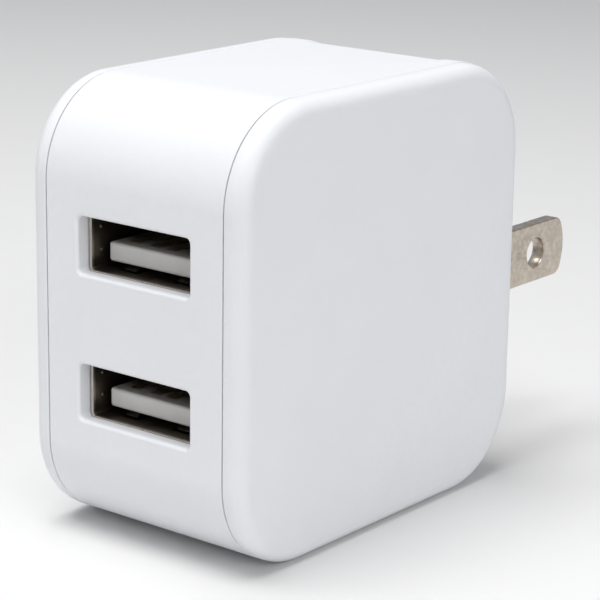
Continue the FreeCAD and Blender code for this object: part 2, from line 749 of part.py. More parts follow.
def filter_choke():
    """A drum choke: a waisted winding between two ferrite flanges."""
    centre = (part_x, choke_y, choke_z)
    drum = rod(choke_radius, centre, X_AXIS, choke_length)
    waist = rod(choke_radius + 1, (part_x + choke_flange, choke_y, choke_z), X_AXIS,
                choke_length - 2 * choke_flange)
    core = rod(choke_radius - choke_waist, (part_x + choke_flange, choke_y, choke_z), X_AXIS,
               choke_length - 2 * choke_flange)
    return join([drum.cut(waist.cut(core))] + legs("choke", part_x + choke_flange / 2))


def input_fuse():
    """The fusible resistor: a barrel on two bent legs."""
    x = part_x + fuse_radius
    barrel = rod(fuse_radius, (x, fuse_y - fuse_length / 2, fuse_z), Y_AXIS, fuse_length)
    barrel = barrel.makeFillet(fuse_edge_radius, [e for e in barrel.Edges
                                                  if near(e.Length, 2 * math.pi * fuse_radius)])
    wire = rod(leg_radius, (x, fuse_y - fuse_pitch / 2 - leg_radius, fuse_z), Y_AXIS,
               fuse_pitch + 2 * leg_radius)
    return join([barrel, wire] + legs("fuse", x))


def chip(y, z, size, pins):
    """A surface-mounted package on the solder side, with its legs along two edges."""
    length, width, height = size
    stand = chip_leg_thickness
    top = board_outer_x - stand - height
    body = box(top, board_outer_x - stand, y - width / 2, y + width / 2, z - length / 2, z + length / 2)
    pieces = [body]
    pitch = length / pins
    for side in (-1, 1):
        for i in range(pins):
            leg_z = z + (i - (pins - 1) / 2) * pitch
            y0, y1 = sorted((y + side * (width / 2 - chip_legs_reach),
                             y + side * (width / 2 + chip_legs_reach)))
            pieces.append(box(board_outer_x - stand, board_outer_x, y0, y1,
                              leg_z - chip_leg_width / 2, leg_z + chip_leg_width / 2))
    return join(pieces)


def small_parts():
    """The small resistors and capacitors on the solder side, as separate solids."""
    half_y, half_z = small_part_length / 2, small_part_width / 2
    parts = []
    for i in range(small_part_count):
        y = small_part_start_y + i * small_part_pitch
        for side in (-1, 1):
            z = mid_z + side * small_part_rise
            parts.append(box(board_outer_x - small_part_height, board_outer_x,
                             y - half_y, y + half_y, z - half_z, z + half_z))
    return Part.makeCompound(parts)


def insulation_sheet():
    """The thin sheet between the solder side and the left cover."""
    inner_face = -(body_width / 2 - wall)
    return slab(inner_face + sheet_gap, inner_face + sheet_gap + sheet_thickness, sheet_inset)


def build():
    """Every node's shape, by name."""
    nodes = {"centre_band": centre_band(), "left_cover": cover(-1), "right_cover": cover(1)}
    for name, z in port_zs:
        nodes["usb_shell_" + name] = usb_shell(z)
        nodes["usb_insulator_" + name] = usb_insulator(z)
        nodes["usb_contacts_" + name] = usb_contacts(z)
    blades = []
    for name, x in blade_xs:
        blades.append(blade(x))
        nodes["blade_" + name] = blades[-1]
        nodes["contact_spring_" + name] = contact_spring(x)
    nodes["blade_carrier"] = blade_carrier(blades)
    nodes["detent_spring"] = detent_spring()
    nodes["plug_retainer"] = plug_retainer()
    nodes["retainer_screws"] = retainer_screws()
    nodes["input_lead_left"] = input_lead(-blade_pitch / 2 + lead_inset, lead_drop_left)
    nodes["input_lead_right"] = input_lead(blade_pitch / 2 - lead_inset, lead_drop_right)
    nodes["circuit_board"] = circuit_board()
    nodes["transformer_core"] = transformer_core()
    nodes["transformer_bobbin"] = transformer_bobbin()
    nodes["transformer_winding"] = transformer_winding()
    nodes["transformer_pins"] = transformer_pins()
    for index, (name, dz) in enumerate(zip(("upper", "lower"), input_cap_zs)):
        nodes["input_capacitor_" + name] = capacitor_can(input_cap_y, mid_z + dz, input_cap_radius,
                                                         input_cap_length, "input_cap_%d" % index)
    for index, (name, y) in enumerate(zip(("front", "rear"), output_cap_ys)):
        nodes["output_capacitor_" + name] = capacitor_can(y, mid_z, output_cap_radius,
                                                          output_cap_length, "output_cap_%d" % index)
    nodes["y_capacitor"] = y_capacitor()
    nodes["filter_choke"] = filter_choke()
    nodes["input_fuse"] = input_fuse()
    nodes["control_chip"] = chip(control_chip_y, mid_z + control_chip_rise, control_chip_size, 4)
    nodes["output_rectifier_chip"] = chip(output_chip_y, mid_z + output_chip_rise, output_chip_size, 4)
    nodes["opto_coupler"] = chip(coupler_y, mid_z + coupler_rise, coupler_size, 2)
    nodes["bridge_rectifier"] = chip(fuse_y, bridge_z, bridge_size, 2)
    nodes["small_parts"] = small_parts()
    nodes["insulation_sheet"] = insulation_sheet()
    return nodes


os.makedirs("parts", exist_ok=True)
for node, shape in build().items():
    shape.exportStep("parts/" + node + ".step")
    state = "valid" if shape.isValid() else "BAD"
    print(node, len(shape.Solids), "solid", round(shape.Volume, 1), "mm3", state)
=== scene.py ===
"""A two-port USB wall charger with a folding flat-blade plug, finished around its CAD frame.

Sizes are in millimetres and become metres when a mesh is made.
"""
import json
import math
from contextlib import contextmanager

import bmesh
import bpy
from mathutils import Matrix, Vector


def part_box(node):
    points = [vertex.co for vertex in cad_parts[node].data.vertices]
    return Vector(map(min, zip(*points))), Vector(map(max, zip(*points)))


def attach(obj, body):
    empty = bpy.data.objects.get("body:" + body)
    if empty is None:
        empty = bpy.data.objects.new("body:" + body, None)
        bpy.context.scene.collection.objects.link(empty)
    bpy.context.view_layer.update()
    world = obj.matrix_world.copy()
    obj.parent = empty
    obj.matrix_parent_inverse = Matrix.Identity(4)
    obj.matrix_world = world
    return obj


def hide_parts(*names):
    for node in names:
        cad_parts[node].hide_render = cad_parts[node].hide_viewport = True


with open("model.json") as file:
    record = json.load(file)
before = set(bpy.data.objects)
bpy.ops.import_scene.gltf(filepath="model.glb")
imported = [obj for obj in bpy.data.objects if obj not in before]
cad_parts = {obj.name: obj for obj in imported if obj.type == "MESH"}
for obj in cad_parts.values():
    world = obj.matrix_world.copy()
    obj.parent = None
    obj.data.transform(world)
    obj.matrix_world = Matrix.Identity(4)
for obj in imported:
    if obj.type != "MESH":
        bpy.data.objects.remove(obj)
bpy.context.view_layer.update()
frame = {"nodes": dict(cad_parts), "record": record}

MM = 0.001

# ---- sizes that the CAD boxes don't give ----

CORNER_RADIUS = 9.2
BAY_CORNER_RADIUS = 8.55
WALL = 1.8
SEAM_GAP = 0.12
SEAM_ROUND = 0.12
COVER_EDGE_RADIUS = 1.5
LIP_THICKNESS = 1.0
LIP_CLEARANCE = 0.1
WINDOW_WIDTH = 13.5
WINDOW_HEIGHT = 5.4
WINDOW_CORNER = 0.5
WINDOW_ROUND = 0.35
POCKET_WIDTH = 13.3
POCKET_CORNER = 0.6
BAY_WALL = 1.0
BAY_ROUND = 0.3
BAY_DEPTH = 3.35
BARREL_ROOM = 0.3
TRUNNION_RADIUS = 1.5
BEARING_RADIUS = 1.55
CARRIER_RADIUS = 4.2
RETAINER_GAP = 1.2
ARC_STEPS = 24
FAR = 60.0
WELD = 0.0005

SHELL_WIDTH = 13.1
SHELL_HEIGHT = 5.72
SHELL_CORNER = 0.6
SHEET = 0.3
SLOT_LENGTH = 6.0
LEAF_XS = (-3.2, 3.2)
TONGUE_WIDTH = 11.1
TONGUE_THICKNESS = 1.84
TONGUE_DROP = 0.95
TONGUE_SETBACK = 1.55
CONTACT_XS = (-3.5, -1.0, 1.0, 3.5)
CONTACT_WIDTH = 1.2
STRIP = 0.3
SCREW_HEAD_RADIUS = 1.5

BLADE_TIP_BULGE = 0.9
BLADE_TIP_CORNER = 1.3
BLADE_HOLE_RADIUS = 1.6
BLADE_HOLE_OUT = 12.5
BLADE_TAIL_HALF = 2.0

LEG_RADIUS = 0.3
LEG_STUB = 0.8
PART_STAND_OFF = 0.3


# ---- reading the frame ----

def box_mm(node):
    """A CAD node's corners in millimetres."""
    low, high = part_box(node)
    return low / MM, high / MM


band_low, band_high = box_mm("centre_band")
right_low, right_high = box_mm("right_cover")
SOCKET_Y = box_mm("usb_shell_upper")[0].y
carrier_low, carrier_high = box_mm("blade_carrier")
retainer_low, retainer_high = box_mm("plug_retainer")

BAND_HALF = band_high.x
SEAM_X = BAND_HALF + SEAM_GAP / 2
OUTER_X = right_high.x
FRONT_Y = band_low.y
BACK_Y = band_high.y
TOP_Z = band_high.z
MID_Z = TOP_Z / 2
LIP_X = right_low.x

PIVOT_Y = (carrier_low.y + carrier_high.y) / 2
PIVOT_Z = (carrier_low.z + carrier_high.z) / 2
BARREL_RADIUS = (carrier_high.z - carrier_low.z) / 2
BLADE_SHOULDER_Y = PIVOT_Y + BARREL_RADIUS / 3
BAY_FLOOR_Y = PIVOT_Y - BAY_DEPTH
BAY_HALF = retainer_high.x - BAY_WALL
RETAINER_FRONT_Y = PIVOT_Y - BARREL_RADIUS - RETAINER_GAP

board_low, board_high = box_mm("circuit_board")
LEG_END = board_low.x - LEG_STUB
PART_X = board_high.x + PART_STAND_OFF


# ---- node trees ----

class Tree:
    """Writes the nodes of one node tree."""

    def __init__(self, tree):
        self.tree = tree

    def socket(self, name, kind, in_out="INPUT", default=None):
        item = self.tree.interface.new_socket(name=name, in_out=in_out, socket_type=kind)
        if default is not None:
            item.default_value = default
        return item

    def add(self, kind, feeds=None, **settings):
        node = self.tree.nodes.new(kind)
        for name, value in settings.items():
            setattr(node, name, value)
        for key, value in (feeds or {}).items():
            self.feed(node.inputs[key], value)
        return node

    def feed(self, socket, value):
        if isinstance(value, bpy.types.NodeSocket):
            self.tree.links.new(value, socket)
        else:
            socket.default_value = value

    def maths(self, operation, *values):
        node = self.add("ShaderNodeMath", dict(enumerate(values)), operation=operation)
        return node.outputs[0]

    def vector_maths(self, operation, *values):
        node = self.add("ShaderNodeVectorMath", dict(enumerate(values)), operation=operation)
        return node.outputs[0]

    def remap(self, value, from_low, from_high, to_low, to_high):
        node = self.add("ShaderNodeMapRange", {0: value, 1: from_low, 2: from_high, 3: to_low, 4: to_high})
        return node.outputs[0]

    def blend(self, share, first, second):
        """A number between two, by share."""
        return self.add("ShaderNodeMix", {0: share, 2: first, 3: second}).outputs[0]

    def blend_colour(self, share, first, second):
        """A colour between two, by share."""
        return self.add("ShaderNodeMix", {0: share, 6: first, 7: second}, data_type="RGBA").outputs[2]

    def object_place(self):
        return self.add("ShaderNodeTexCoord").outputs["Object"]

    def noise(self, place, scale, detail, **more):
        feeds = {"Vector": place, "Scale": scale, "Detail": detail, **more}
        return self.add("ShaderNodeTexNoise", feeds).outputs["Fac"]

    def spot(self, **sides):
        """A vector from its X, Y and Z, each a number or a socket."""
        return self.add("ShaderNodeCombineXYZ", sides).outputs[0]


def shader_group(name, inputs, outputs, write):
    """A shader node group: inputs and outputs are (name, kind, default) and (name, kind)."""
    group = bpy.data.node_groups.new(name, "ShaderNodeTree")
    tree = Tree(group)
    for label, kind, default in inputs:
        tree.socket(label, kind, default=default)
    for label, kind in outputs:
        tree.socket(label, kind, "OUTPUT")
    source = tree.add("NodeGroupInput")
    sink = tree.add("NodeGroupOutput")
    write(tree, source.outputs, sink.inputs)
    return group


FLOAT, COLOUR, VECTOR = "NodeSocketFloat", "NodeSocketColor", "NodeSocketVector"


def write_moulded_grain(tree, given, out):
    """Fine even grain of a moulded surface, with slow drifts of gloss and tone."""
    place = tree.object_place()
    grain = tree.noise(place, given["Grain Scale"], 3.0, Roughness=0.6)
    drift = tree.noise(place, 140.0, 2.0)
    cells = tree.add("ShaderNodeTexVoronoi", {"Vector": place, "Scale": given["Grain Scale"]})
    speck = cells.outputs["Distance"]
    tree.feed(out["Height"], tree.maths("ADD", grain, tree.maths("MULTIPLY", speck, 0.5)))
    gloss = tree.maths("ADD", tree.maths("MULTIPLY", drift, 0.6), tree.maths("MULTIPLY", grain, 0.4))
    share = tree.remap(gloss, 0.3, 0.7, 0.0, 1.0)
    tree.feed(out["Roughness"], tree.blend(share, given["Roughness Low"], given["Roughness High"]))
    tree.feed(out["Colour"], tree.blend_colour(drift, given["Colour"], given["Colour Deep"]))


def write_drawn_metal(tree, given, out):
    """Fine drawn lines along one direction, with cloudy plating."""
    place = tree.object_place()
    lines = tree.noise(tree.vector_maths("MULTIPLY", place, given["Line Stretch"]), 1.0, 4.0, Roughness=0.65)
    cloud = tree.noise(place, 500.0, 3.0)
    fine = tree.noise(place, 9000.0, 2.0)
    tree.feed(out["Height"], tree.maths("ADD", lines, tree.maths("MULTIPLY", fine, 0.4)))
    both = tree.maths("ADD", tree.maths("MULTIPLY", lines, 0.5), tree.maths("MULTIPLY", cloud, 0.5))
    share = tree.remap(both, 0.35, 0.65, 0.0, 1.0)
    tree.feed(out["Roughness"], tree.blend(share, given["Roughness Low"], given["Roughness High"]))
    tree.feed(out["Colour"], tree.blend_colour(share, given["Colour"], given["Colour Deep"]))


def write_edge_wear_and_painted_light(tree, given, out):
    """Convex edges, broken up by noise, take the edge colour: lighter where plating or gloss is rubbed, with
    painted highlight along the plastics' edges, and darker on the blade, a painted dark reflection in its
    eased edges.
    """
    edge = tree.remap(tree.add("ShaderNodeNewGeometry").outputs["Pointiness"], 0.505, 0.56, 0.0, 1.0)
    patchy = tree.noise(tree.object_place(), 1600.0, 3.0)
    wear_and_light_mark = tree.maths("MULTIPLY", edge, tree.remap(patchy, 0.35, 0.65, 0.2, 1.0))
    strength = tree.maths("MULTIPLY", wear_and_light_mark, given["Amount"])
    tree.feed(out["Colour"], tree.blend_colour(strength, given["Colour"], given["Edge Colour"]))


def write_depth_tone(tree, given, out):
    """A second colour that takes over between two places along Y; in the USB shells and tongues it is painted
    shade deep inside the socket.
    """
    along = tree.add("ShaderNodeSeparateXYZ", {0: tree.object_place()}).outputs[1]
    share = tree.remap(along, given["Start"], given["End"], 0.0, 1.0)
    tree.feed(out["Colour"], tree.blend_colour(share, given["Colour"], given["Far Colour"]))


WHITE = (1.0, 1.0, 1.0, 1.0)
GREY = (0.5, 0.5, 0.5, 1.0)

moulded_grain = shader_group(
    "moulded grain",
    [("Colour", COLOUR, WHITE), ("Colour Deep", COLOUR, GREY), ("Grain Scale", FLOAT, 7000.0),
     ("Roughness Low", FLOAT, 0.3), ("Roughness High", FLOAT, 0.4)],
    [("Colour", COLOUR), ("Roughness", FLOAT), ("Height", FLOAT)], write_moulded_grain)
drawn_metal = shader_group(
    "drawn metal",
    [("Colour", COLOUR, WHITE), ("Colour Deep", COLOUR, GREY),
     ("Line Stretch", VECTOR, (9000.0, 400.0, 9000.0)), ("Roughness Low", FLOAT, 0.2),
     ("Roughness High", FLOAT, 0.4)],
    [("Colour", COLOUR), ("Roughness", FLOAT), ("Height", FLOAT)], write_drawn_metal)
edge_wear_and_painted_light = shader_group(
    "edge wear",
    [("Colour", COLOUR, WHITE), ("Edge Colour", COLOUR, WHITE), ("Amount", FLOAT, 0.5)],
    [("Colour", COLOUR)], write_edge_wear_and_painted_light)
depth_tone = shader_group(
    "depth tone",
    [("Colour", COLOUR, WHITE), ("Far Colour", COLOUR, GREY), ("Start", FLOAT, 0.0), ("End", FLOAT, 1.0)],
    [("Colour", COLOUR)], write_depth_tone)


def rgba(red, green, blue):
    return (red, green, blue, 1.0)


def finish_material(name, group, values, wear_and_light_mark, bump, metallic=0.0, far=None, **shader_values):
    """One material: a surface group, an edge colour (rubbed wear, and painted light on the plastics and the
    blade), an optional second tone along Y (painted shade deep inside the USB sockets), and the shader's
    constants.
    """
    material = bpy.data.materials.new(name)
    material.use_nodes = True
    tree = Tree(material.node_tree)
    shader = material.node_tree.nodes["Principled BSDF"]
    surface = tree.add("ShaderNodeGroup", node_tree=group)
    for label, value in values.items():
        surface.inputs[label].default_value = value
    wear_and_painted_light = tree.add("ShaderNodeGroup", node_tree=edge_wear_and_painted_light)
    wear_and_painted_light.inputs["Edge Colour"].default_value = wear_and_light_mark[0]
    wear_and_painted_light.inputs["Amount"].default_value = wear_and_light_mark[1]
    tree.feed(wear_and_painted_light.inputs["Colour"], surface.outputs["Colour"])
    relief = tree.add("ShaderNodeBump", {"Height": surface.outputs["Height"], "Strength": bump[0],
                                         "Distance": bump[1] * MM})
    tone = wear_and_painted_light.outputs["Colour"]
    # The far colour takes over along Y; in the USB sockets it is painted shade deep inside.
    if far is not None:
        colour, start, end = far
        depth = tree.add("ShaderNodeGroup", node_tree=depth_tone)
        depth.inputs["Far Colour"].default_value = colour
        depth.inputs["Start"].default_value = start * MM
        depth.inputs["End"].default_value = end * MM
        tree.feed(depth.inputs["Colour"], tone)
        tone = depth.outputs["Colour"]
    tree.feed(shader.inputs["Base Color"], tone)
    tree.feed(shader.inputs["Roughness"], surface.outputs["Roughness"])
    tree.feed(shader.inputs["Normal"], relief.outputs["Normal"])
    shader.inputs["Metallic"].default_value = metallic
    for label, value in shader_values.items():
        shader.inputs[label.replace("_", " ")].default_value = value
    return material


def lighter(colour, gain, lift, limit):
    """A colour multiplied and lifted, up to a limit."""
    return rgba(*(min(limit, part * gain + lift) for part in colour[:3]))


def plastic(name, colour, deep, low, high, grain=7000.0, bump=(0.25, 0.02), wear_and_light_mark=0.1, **extra):
    values = {"Colour": colour, "Colour Deep": deep, "Grain Scale": grain,
              "Roughness Low": low, "Roughness High": high}
    # Lighter edge colour: rubbed gloss, and partly a painted highlight along convex edges.
    edge = lighter(colour, 1.15, 0.02, 1.0)
    return finish_material(name, moulded_grain, values, (edge, wear_and_light_mark), bump, **extra)


def metal(name, colour, deep, low, high, stretch=(9000.0, 400.0, 9000.0), bump=(0.2, 0.01), wear_and_light_mark=0.5,
          edge_gain=1.3, **extra):
    values = {"Colour": colour, "Colour Deep": deep, "Line Stretch": stretch,
              "Roughness Low": low, "Roughness High": high}
    # An edge gain over 1 lightens rubbed plating; under 1, as on the blade, it darkens the edges as painted
    # dark reflection.
    edge = lighter(colour, edge_gain, 0.0, 0.85)
    return finish_material(name, drawn_metal, values, (edge, wear_and_light_mark), bump, metallic=1.0, **extra)


materials = {
    "housing_white": plastic("housing_white", rgba(0.80, 0.81, 0.83), rgba(0.77, 0.78, 0.80), 0.36, 0.46,
                             bump=(0.5, 0.02)),
    "carrier_white": plastic("carrier_white", rgba(0.78, 0.79, 0.80), rgba(0.74, 0.75, 0.76), 0.34, 0.44),
    "retainer_grey": plastic("retainer_grey", rgba(0.34, 0.35, 0.36), rgba(0.28, 0.29, 0.30), 0.40, 0.55),
    # Blade: the darker edge colour is painted dark reflection, a dark line along the eased edges.
    "blade_nickel": metal("blade_nickel", rgba(0.74, 0.66, 0.56), rgba(0.69, 0.61, 0.515), 0.30, 0.42,
                          stretch=(9000.0, 3000.0, 9000.0), bump=(0.6, 0.01), wear_and_light_mark=0.8, edge_gain=0.45),
    # Socket steel: dark brown from just inside the shell's mouth, painted shade where little light reaches
    # the inside.
    "socket_steel": metal("socket_steel", rgba(0.66, 0.60, 0.55), rgba(0.58, 0.52, 0.47), 0.34, 0.46,
                          wear_and_light_mark=0.2, bump=(0.05, 0.01),
                          far=(rgba(0.17, 0.145, 0.115), SOCKET_Y + 0.05, SOCKET_Y + 0.4)),
    # Socket tongue: dark towards its rear, painted shade inside the socket.
    "socket_insulator": plastic("socket_insulator", rgba(0.70, 0.69, 0.66), rgba(0.65, 0.64, 0.61),
                                0.42, 0.52, far=(rgba(0.10, 0.085, 0.07), SOCKET_Y + 1.7, SOCKET_Y + 4.5)),
    "contact_plate": metal("contact_plate", rgba(0.58, 0.49, 0.37), rgba(0.50, 0.42, 0.31), 0.38, 0.50,
                           far=(rgba(0.62, 0.46, 0.25), SOCKET_Y + 6.0, SOCKET_Y + 9.0)),
    "spring_bronze": metal("spring_bronze", rgba(0.72, 0.45, 0.26), rgba(0.56, 0.33, 0.18), 0.25, 0.38),
    "spring_steel": metal("spring_steel", rgba(0.52, 0.53, 0.55), rgba(0.40, 0.41, 0.43), 0.22, 0.34),
    "screw_steel": metal("screw_steel", rgba(0.55, 0.55, 0.56), rgba(0.42, 0.42, 0.43), 0.25, 0.38),
    "board_green": plastic("board_green", rgba(0.03, 0.17, 0.07), rgba(0.02, 0.11, 0.05), 0.22, 0.34),
    "ferrite": plastic("ferrite", rgba(0.035, 0.035, 0.038), rgba(0.02, 0.02, 0.022), 0.45, 0.65),
    "bobbin_black": plastic("bobbin_black", rgba(0.02, 0.02, 0.02), rgba(0.012, 0.012, 0.012), 0.35, 0.5),
    "winding_tape": plastic("winding_tape", rgba(0.78, 0.55, 0.06), rgba(0.66, 0.44, 0.04), 0.18, 0.30),
    "tinned_leg": metal("tinned_leg", rgba(0.70, 0.70, 0.70), rgba(0.55, 0.55, 0.56), 0.22, 0.34),
    "sleeve_black": plastic("sleeve_black", rgba(0.02, 0.022, 0.03), rgba(0.012, 0.014, 0.02), 0.14, 0.26),
    "can_aluminium": metal("can_aluminium", rgba(0.75, 0.76, 0.77), rgba(0.62, 0.63, 0.64), 0.22, 0.36),
    "disc_blue": plastic("disc_blue", rgba(0.04, 0.13, 0.46), rgba(0.03, 0.09, 0.36), 0.30, 0.42),
    "choke_sleeve": plastic("choke_sleeve", rgba(0.03, 0.03, 0.033), rgba(0.02, 0.02, 0.022), 0.20, 0.32),
    "fuse_green": plastic("fuse_green", rgba(0.16, 0.30, 0.22), rgba(0.12, 0.24, 0.17), 0.50, 0.65),
    "lead_black": plastic("lead_black", rgba(0.02, 0.02, 0.02), rgba(0.012, 0.012, 0.012), 0.30, 0.42),
    "lead_white": plastic("lead_white", rgba(0.74, 0.74, 0.72), rgba(0.68, 0.68, 0.66), 0.30, 0.42),
    "chip_black": plastic("chip_black", rgba(0.018, 0.018, 0.018), rgba(0.010, 0.010, 0.010), 0.48, 0.62),
    "small_part_tan": plastic("small_part_tan", rgba(0.32, 0.22, 0.13), rgba(0.24, 0.16, 0.09), 0.40, 0.55),
    "sheet_amber": plastic("sheet_amber", rgba(0.62, 0.45, 0.18), rgba(0.52, 0.36, 0.12), 0.16, 0.28),
}


# ---- mesh helpers ----

def place_object(name, mesh, material=None):
    piece = bpy.data.objects.new(name, mesh)
    bpy.context.scene.collection.objects.link(piece)
    if material is not None:
        mesh.materials.clear()
        mesh.materials.append(materials[material])
    return piece


def mesh_piece(name, points, faces, material=None):
    """An object from millimetre points and faces."""
    mesh = bpy.data.meshes.new(name)
    mesh.from_pydata([Vector(p) * MM for p in points], [], faces)
    mesh.update()
    return place_object(name, mesh, material)


@contextmanager
def edited(piece):
    """The piece's mesh, open for editing and written back at the end."""
    edit = bmesh.new()
    edit.from_mesh(piece.data)
    yield edit
    edit.to_mesh(piece.data)
    edit.free()


def settle(piece, kind=None, **values):
    """Adds a modifier, if one is named, and turns what the piece's modifiers make into its plain mesh."""
    if kind is not None:
        modifier = piece.modifiers.new(kind.lower(), kind)
        for name, value in values.items():
            setattr(modifier, name, value)
    graph = bpy.context.evaluated_depsgraph_get()
    result = bpy.data.meshes.new_from_object(piece.evaluated_get(graph))
    piece.modifiers.clear()
    old = piece.data
    piece.data = result
    bpy.data.meshes.remove(old)
    return piece


def carve(piece, cutter, operation="DIFFERENCE"):
    """Cuts or joins with another object, which is then removed."""
    settle(piece, "BOOLEAN", operation=operation, object=cutter, solver="EXACT")
    bpy.data.objects.remove(cutter)
    return piece


def every_edge(a, b):
    return True


def soften(piece, width, steps, test=every_edge, angle=35.0):
    """Rounds the sharp edges that pass the test. The test gets an edge's two ends in millimetres."""
    limit = math.radians(angle)
    with edited(piece) as edit:
        bmesh.ops.remove_doubles(edit, verts=edit.verts, dist=WELD * MM)
        chosen = [e for e in edit.edges if len(e.link_faces) == 2 and e.calc_face_angle(0) > limit
                  and test(e.verts[0].co / MM, e.verts[1].co / MM)]
        if chosen:
            bmesh.ops.bevel(edit, geom=chosen, offset=width * MM, segments=steps, profile=0.5,
                            affect="EDGES", clamp_overlap=True)
    return piece


def smooth(piece, angle=32.0):
    """Smooth shading that keeps flat faces flat and edges over the angle sharp."""
    piece.data.shade_smooth()
    piece.data.set_sharp_from_angle(angle=math.radians(angle))
    return settle(piece, "WEIGHTED_NORMAL", keep_sharp=True, weight=60)


def closed(piece):
    """Closes a mesh's open loops with flat faces."""
    with edited(piece) as edit:
        bmesh.ops.remove_doubles(edit, verts=edit.verts, dist=WELD * MM)
        bmesh.ops.holes_fill(edit, edges=[e for e in edit.edges if e.is_boundary], sides=0)
    return piece


def outward(piece):
    """Points every face outwards."""
    with edited(piece) as edit:
        bmesh.ops.recalc_face_normals(edit, faces=edit.faces)
    return piece


def merged(name, pieces, material):
    """One object from several, which are removed."""
    edit = bmesh.new()
    for piece in pieces:
        edit.from_mesh(piece.data)
        bpy.data.objects.remove(piece)
    mesh = bpy.data.meshes.new(name)
    edit.to_mesh(mesh)
    edit.free()
    return place_object(name, mesh, material)


def rides(piece, body):
    """A piece that stands beside the one that replaces its node."""
    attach(piece, body)
    return piece


def stand_for(piece, body, node):
    """A piece that replaces its node."""
    rides(piece, body)
    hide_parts(node)
    return piece


def loft(rings):
    """Points and faces of a capped skin through rings of equal length."""
    count = len(rings[0])
    points = [p for ring in rings for p in ring]
    faces = []
    for a, b in zip(range(len(rings) - 1), range(1, len(rings))):
        for i in range(count):
            j = (i + 1) % count
            faces.append((a * count + i, a * count + j, b * count + j, b * count + i))
    faces.append(tuple(reversed(range(count))))
    faces.append(tuple(range((len(rings) - 1) * count, len(rings) * count)))
    return points, faces


def circle(radius, steps):
    """Points of a circle round (0, 0)."""
    return [(radius * math.cos(2 * math.pi * i / steps), radius * math.sin(2 * math.pi * i / steps))
            for i in range(steps)]


def rounded_outline(low, high, radii, steps):
    """A rounded rectangle from corner to corner, as 2-D points; radii start at the low corner."""
    corners = [(low[0], low[1], 1, 1, 180), (high[0], low[1], -1, 1, 270),
               (high[0], high[1], -1, -1, 0), (low[0], high[1], 1, -1, 90)]
    points = []
    for (x, y, sx, sy, start), radius in zip(corners, radii):
        for step in range(steps + 1):
            turn = math.radians(start + 90 * step / steps)
            points.append((x + sx * radius + radius * math.cos(turn),
                           y + sy * radius + radius * math.sin(turn)))
    return points


def side_outline(inset, bay_corner=CORNER_RADIUS):
    """The housing's outline seen from the side, as (y, z) points."""
    radii = [CORNER_RADIUS - inset, CORNER_RADIUS - inset, bay_corner - inset, CORNER_RADIUS - inset]
    return rounded_outline((FRONT_Y + inset, inset), (BACK_Y - inset, TOP_Z - inset), radii, ARC_STEPS)


def plate(name, outline, x0, x1, material=None):
    """A flat shape in the YZ plane, given its thickness along X."""
    return mesh_piece(name, *loft([[(x, y, z) for y, z in outline] for x in (x0, x1)]), material)


def block(name, x0, x1, y0, y1, z0, z1):
    """A plain block, used for cutting and joining."""
    return plate(name, [(y0, z0), (y1, z0), (y1, z1), (y0, z1)], x0, x1)


def bar_x(name, x0, x1, y, z, radius, steps=48):
    """A round bar along X."""
    return plate(name, [(y + a, z + b) for a, b in circle(radius, steps)], x0, x1)


def bar_y(name, y0, y1, x, z, radius, steps=32):
    """A round bar along Y."""
    ring = [(x + a, z + b) for a, b in reversed(circle(radius, steps))]
    return mesh_piece(name, *loft([[(a, y, b) for a, b in ring] for y in (y0, y1)]))


def window_bar(name, width, height, radius, y0, y1, z, steps=6):
    """A rounded-rectangle bar along Y, centred on X = 0."""
    outline = rounded_outline((-width / 2, z - height / 2), (width / 2, z + height / 2), [radius] * 4, steps)
    return mesh_piece(name, *loft([[(x, y, a) for x, a in reversed(outline)] for y in (y0, y1)]))


def near(value, target, room=0.01):
    return abs(value - target) < room


# ---- camera, floor and light ----

def set_camera():
    """A long lens, looking down at the port face and the right side."""
    azimuth, elevation, roll = (math.radians(a) for a in (38.46, 15.41, 0.83))
    distance = 224.56
    aim = Vector((1.548, 0.768, MID_Z - 1.312))
    forward = Vector((-math.sin(azimuth) * math.cos(elevation), math.cos(azimuth) * math.cos(elevation),
                      -math.sin(elevation)))
    level = forward.cross(Vector((0, 0, 1))).normalized()
    upright = level.cross(forward)
    right = level * math.cos(roll) + upright * math.sin(roll)
    up = right.cross(forward)
    data = bpy.data.cameras.new("camera")
    data.lens = 138.9
    data.sensor_width = 36.0
    data.clip_start = 0.01
    data.clip_end = 20.0
    camera = bpy.data.objects.new("camera", data)
    turn = Matrix((right, up, -forward)).transposed()
    camera.matrix_world = Matrix.Translation((aim - forward * distance) * MM) @ turn.to_4x4()
    bpy.context.scene.collection.objects.link(camera)
    bpy.context.scene.camera = camera


def area_light(name, place, power):
    """A square soft light that faces the object."""
    data = bpy.data.lights.new(name, "AREA")
    data.shape = "RECTANGLE"
    data.size = data.size_y = 0.35
    data.energy = power
    light = bpy.data.objects.new(name, data)
    place, target = Vector(place), Vector((0.0, 0.0, 0.02))
    light.rotation_euler = (target - place).to_track_quat("-Z", "Y").to_euler()
    light.location = place
    bpy.context.scene.collection.objects.link(light)


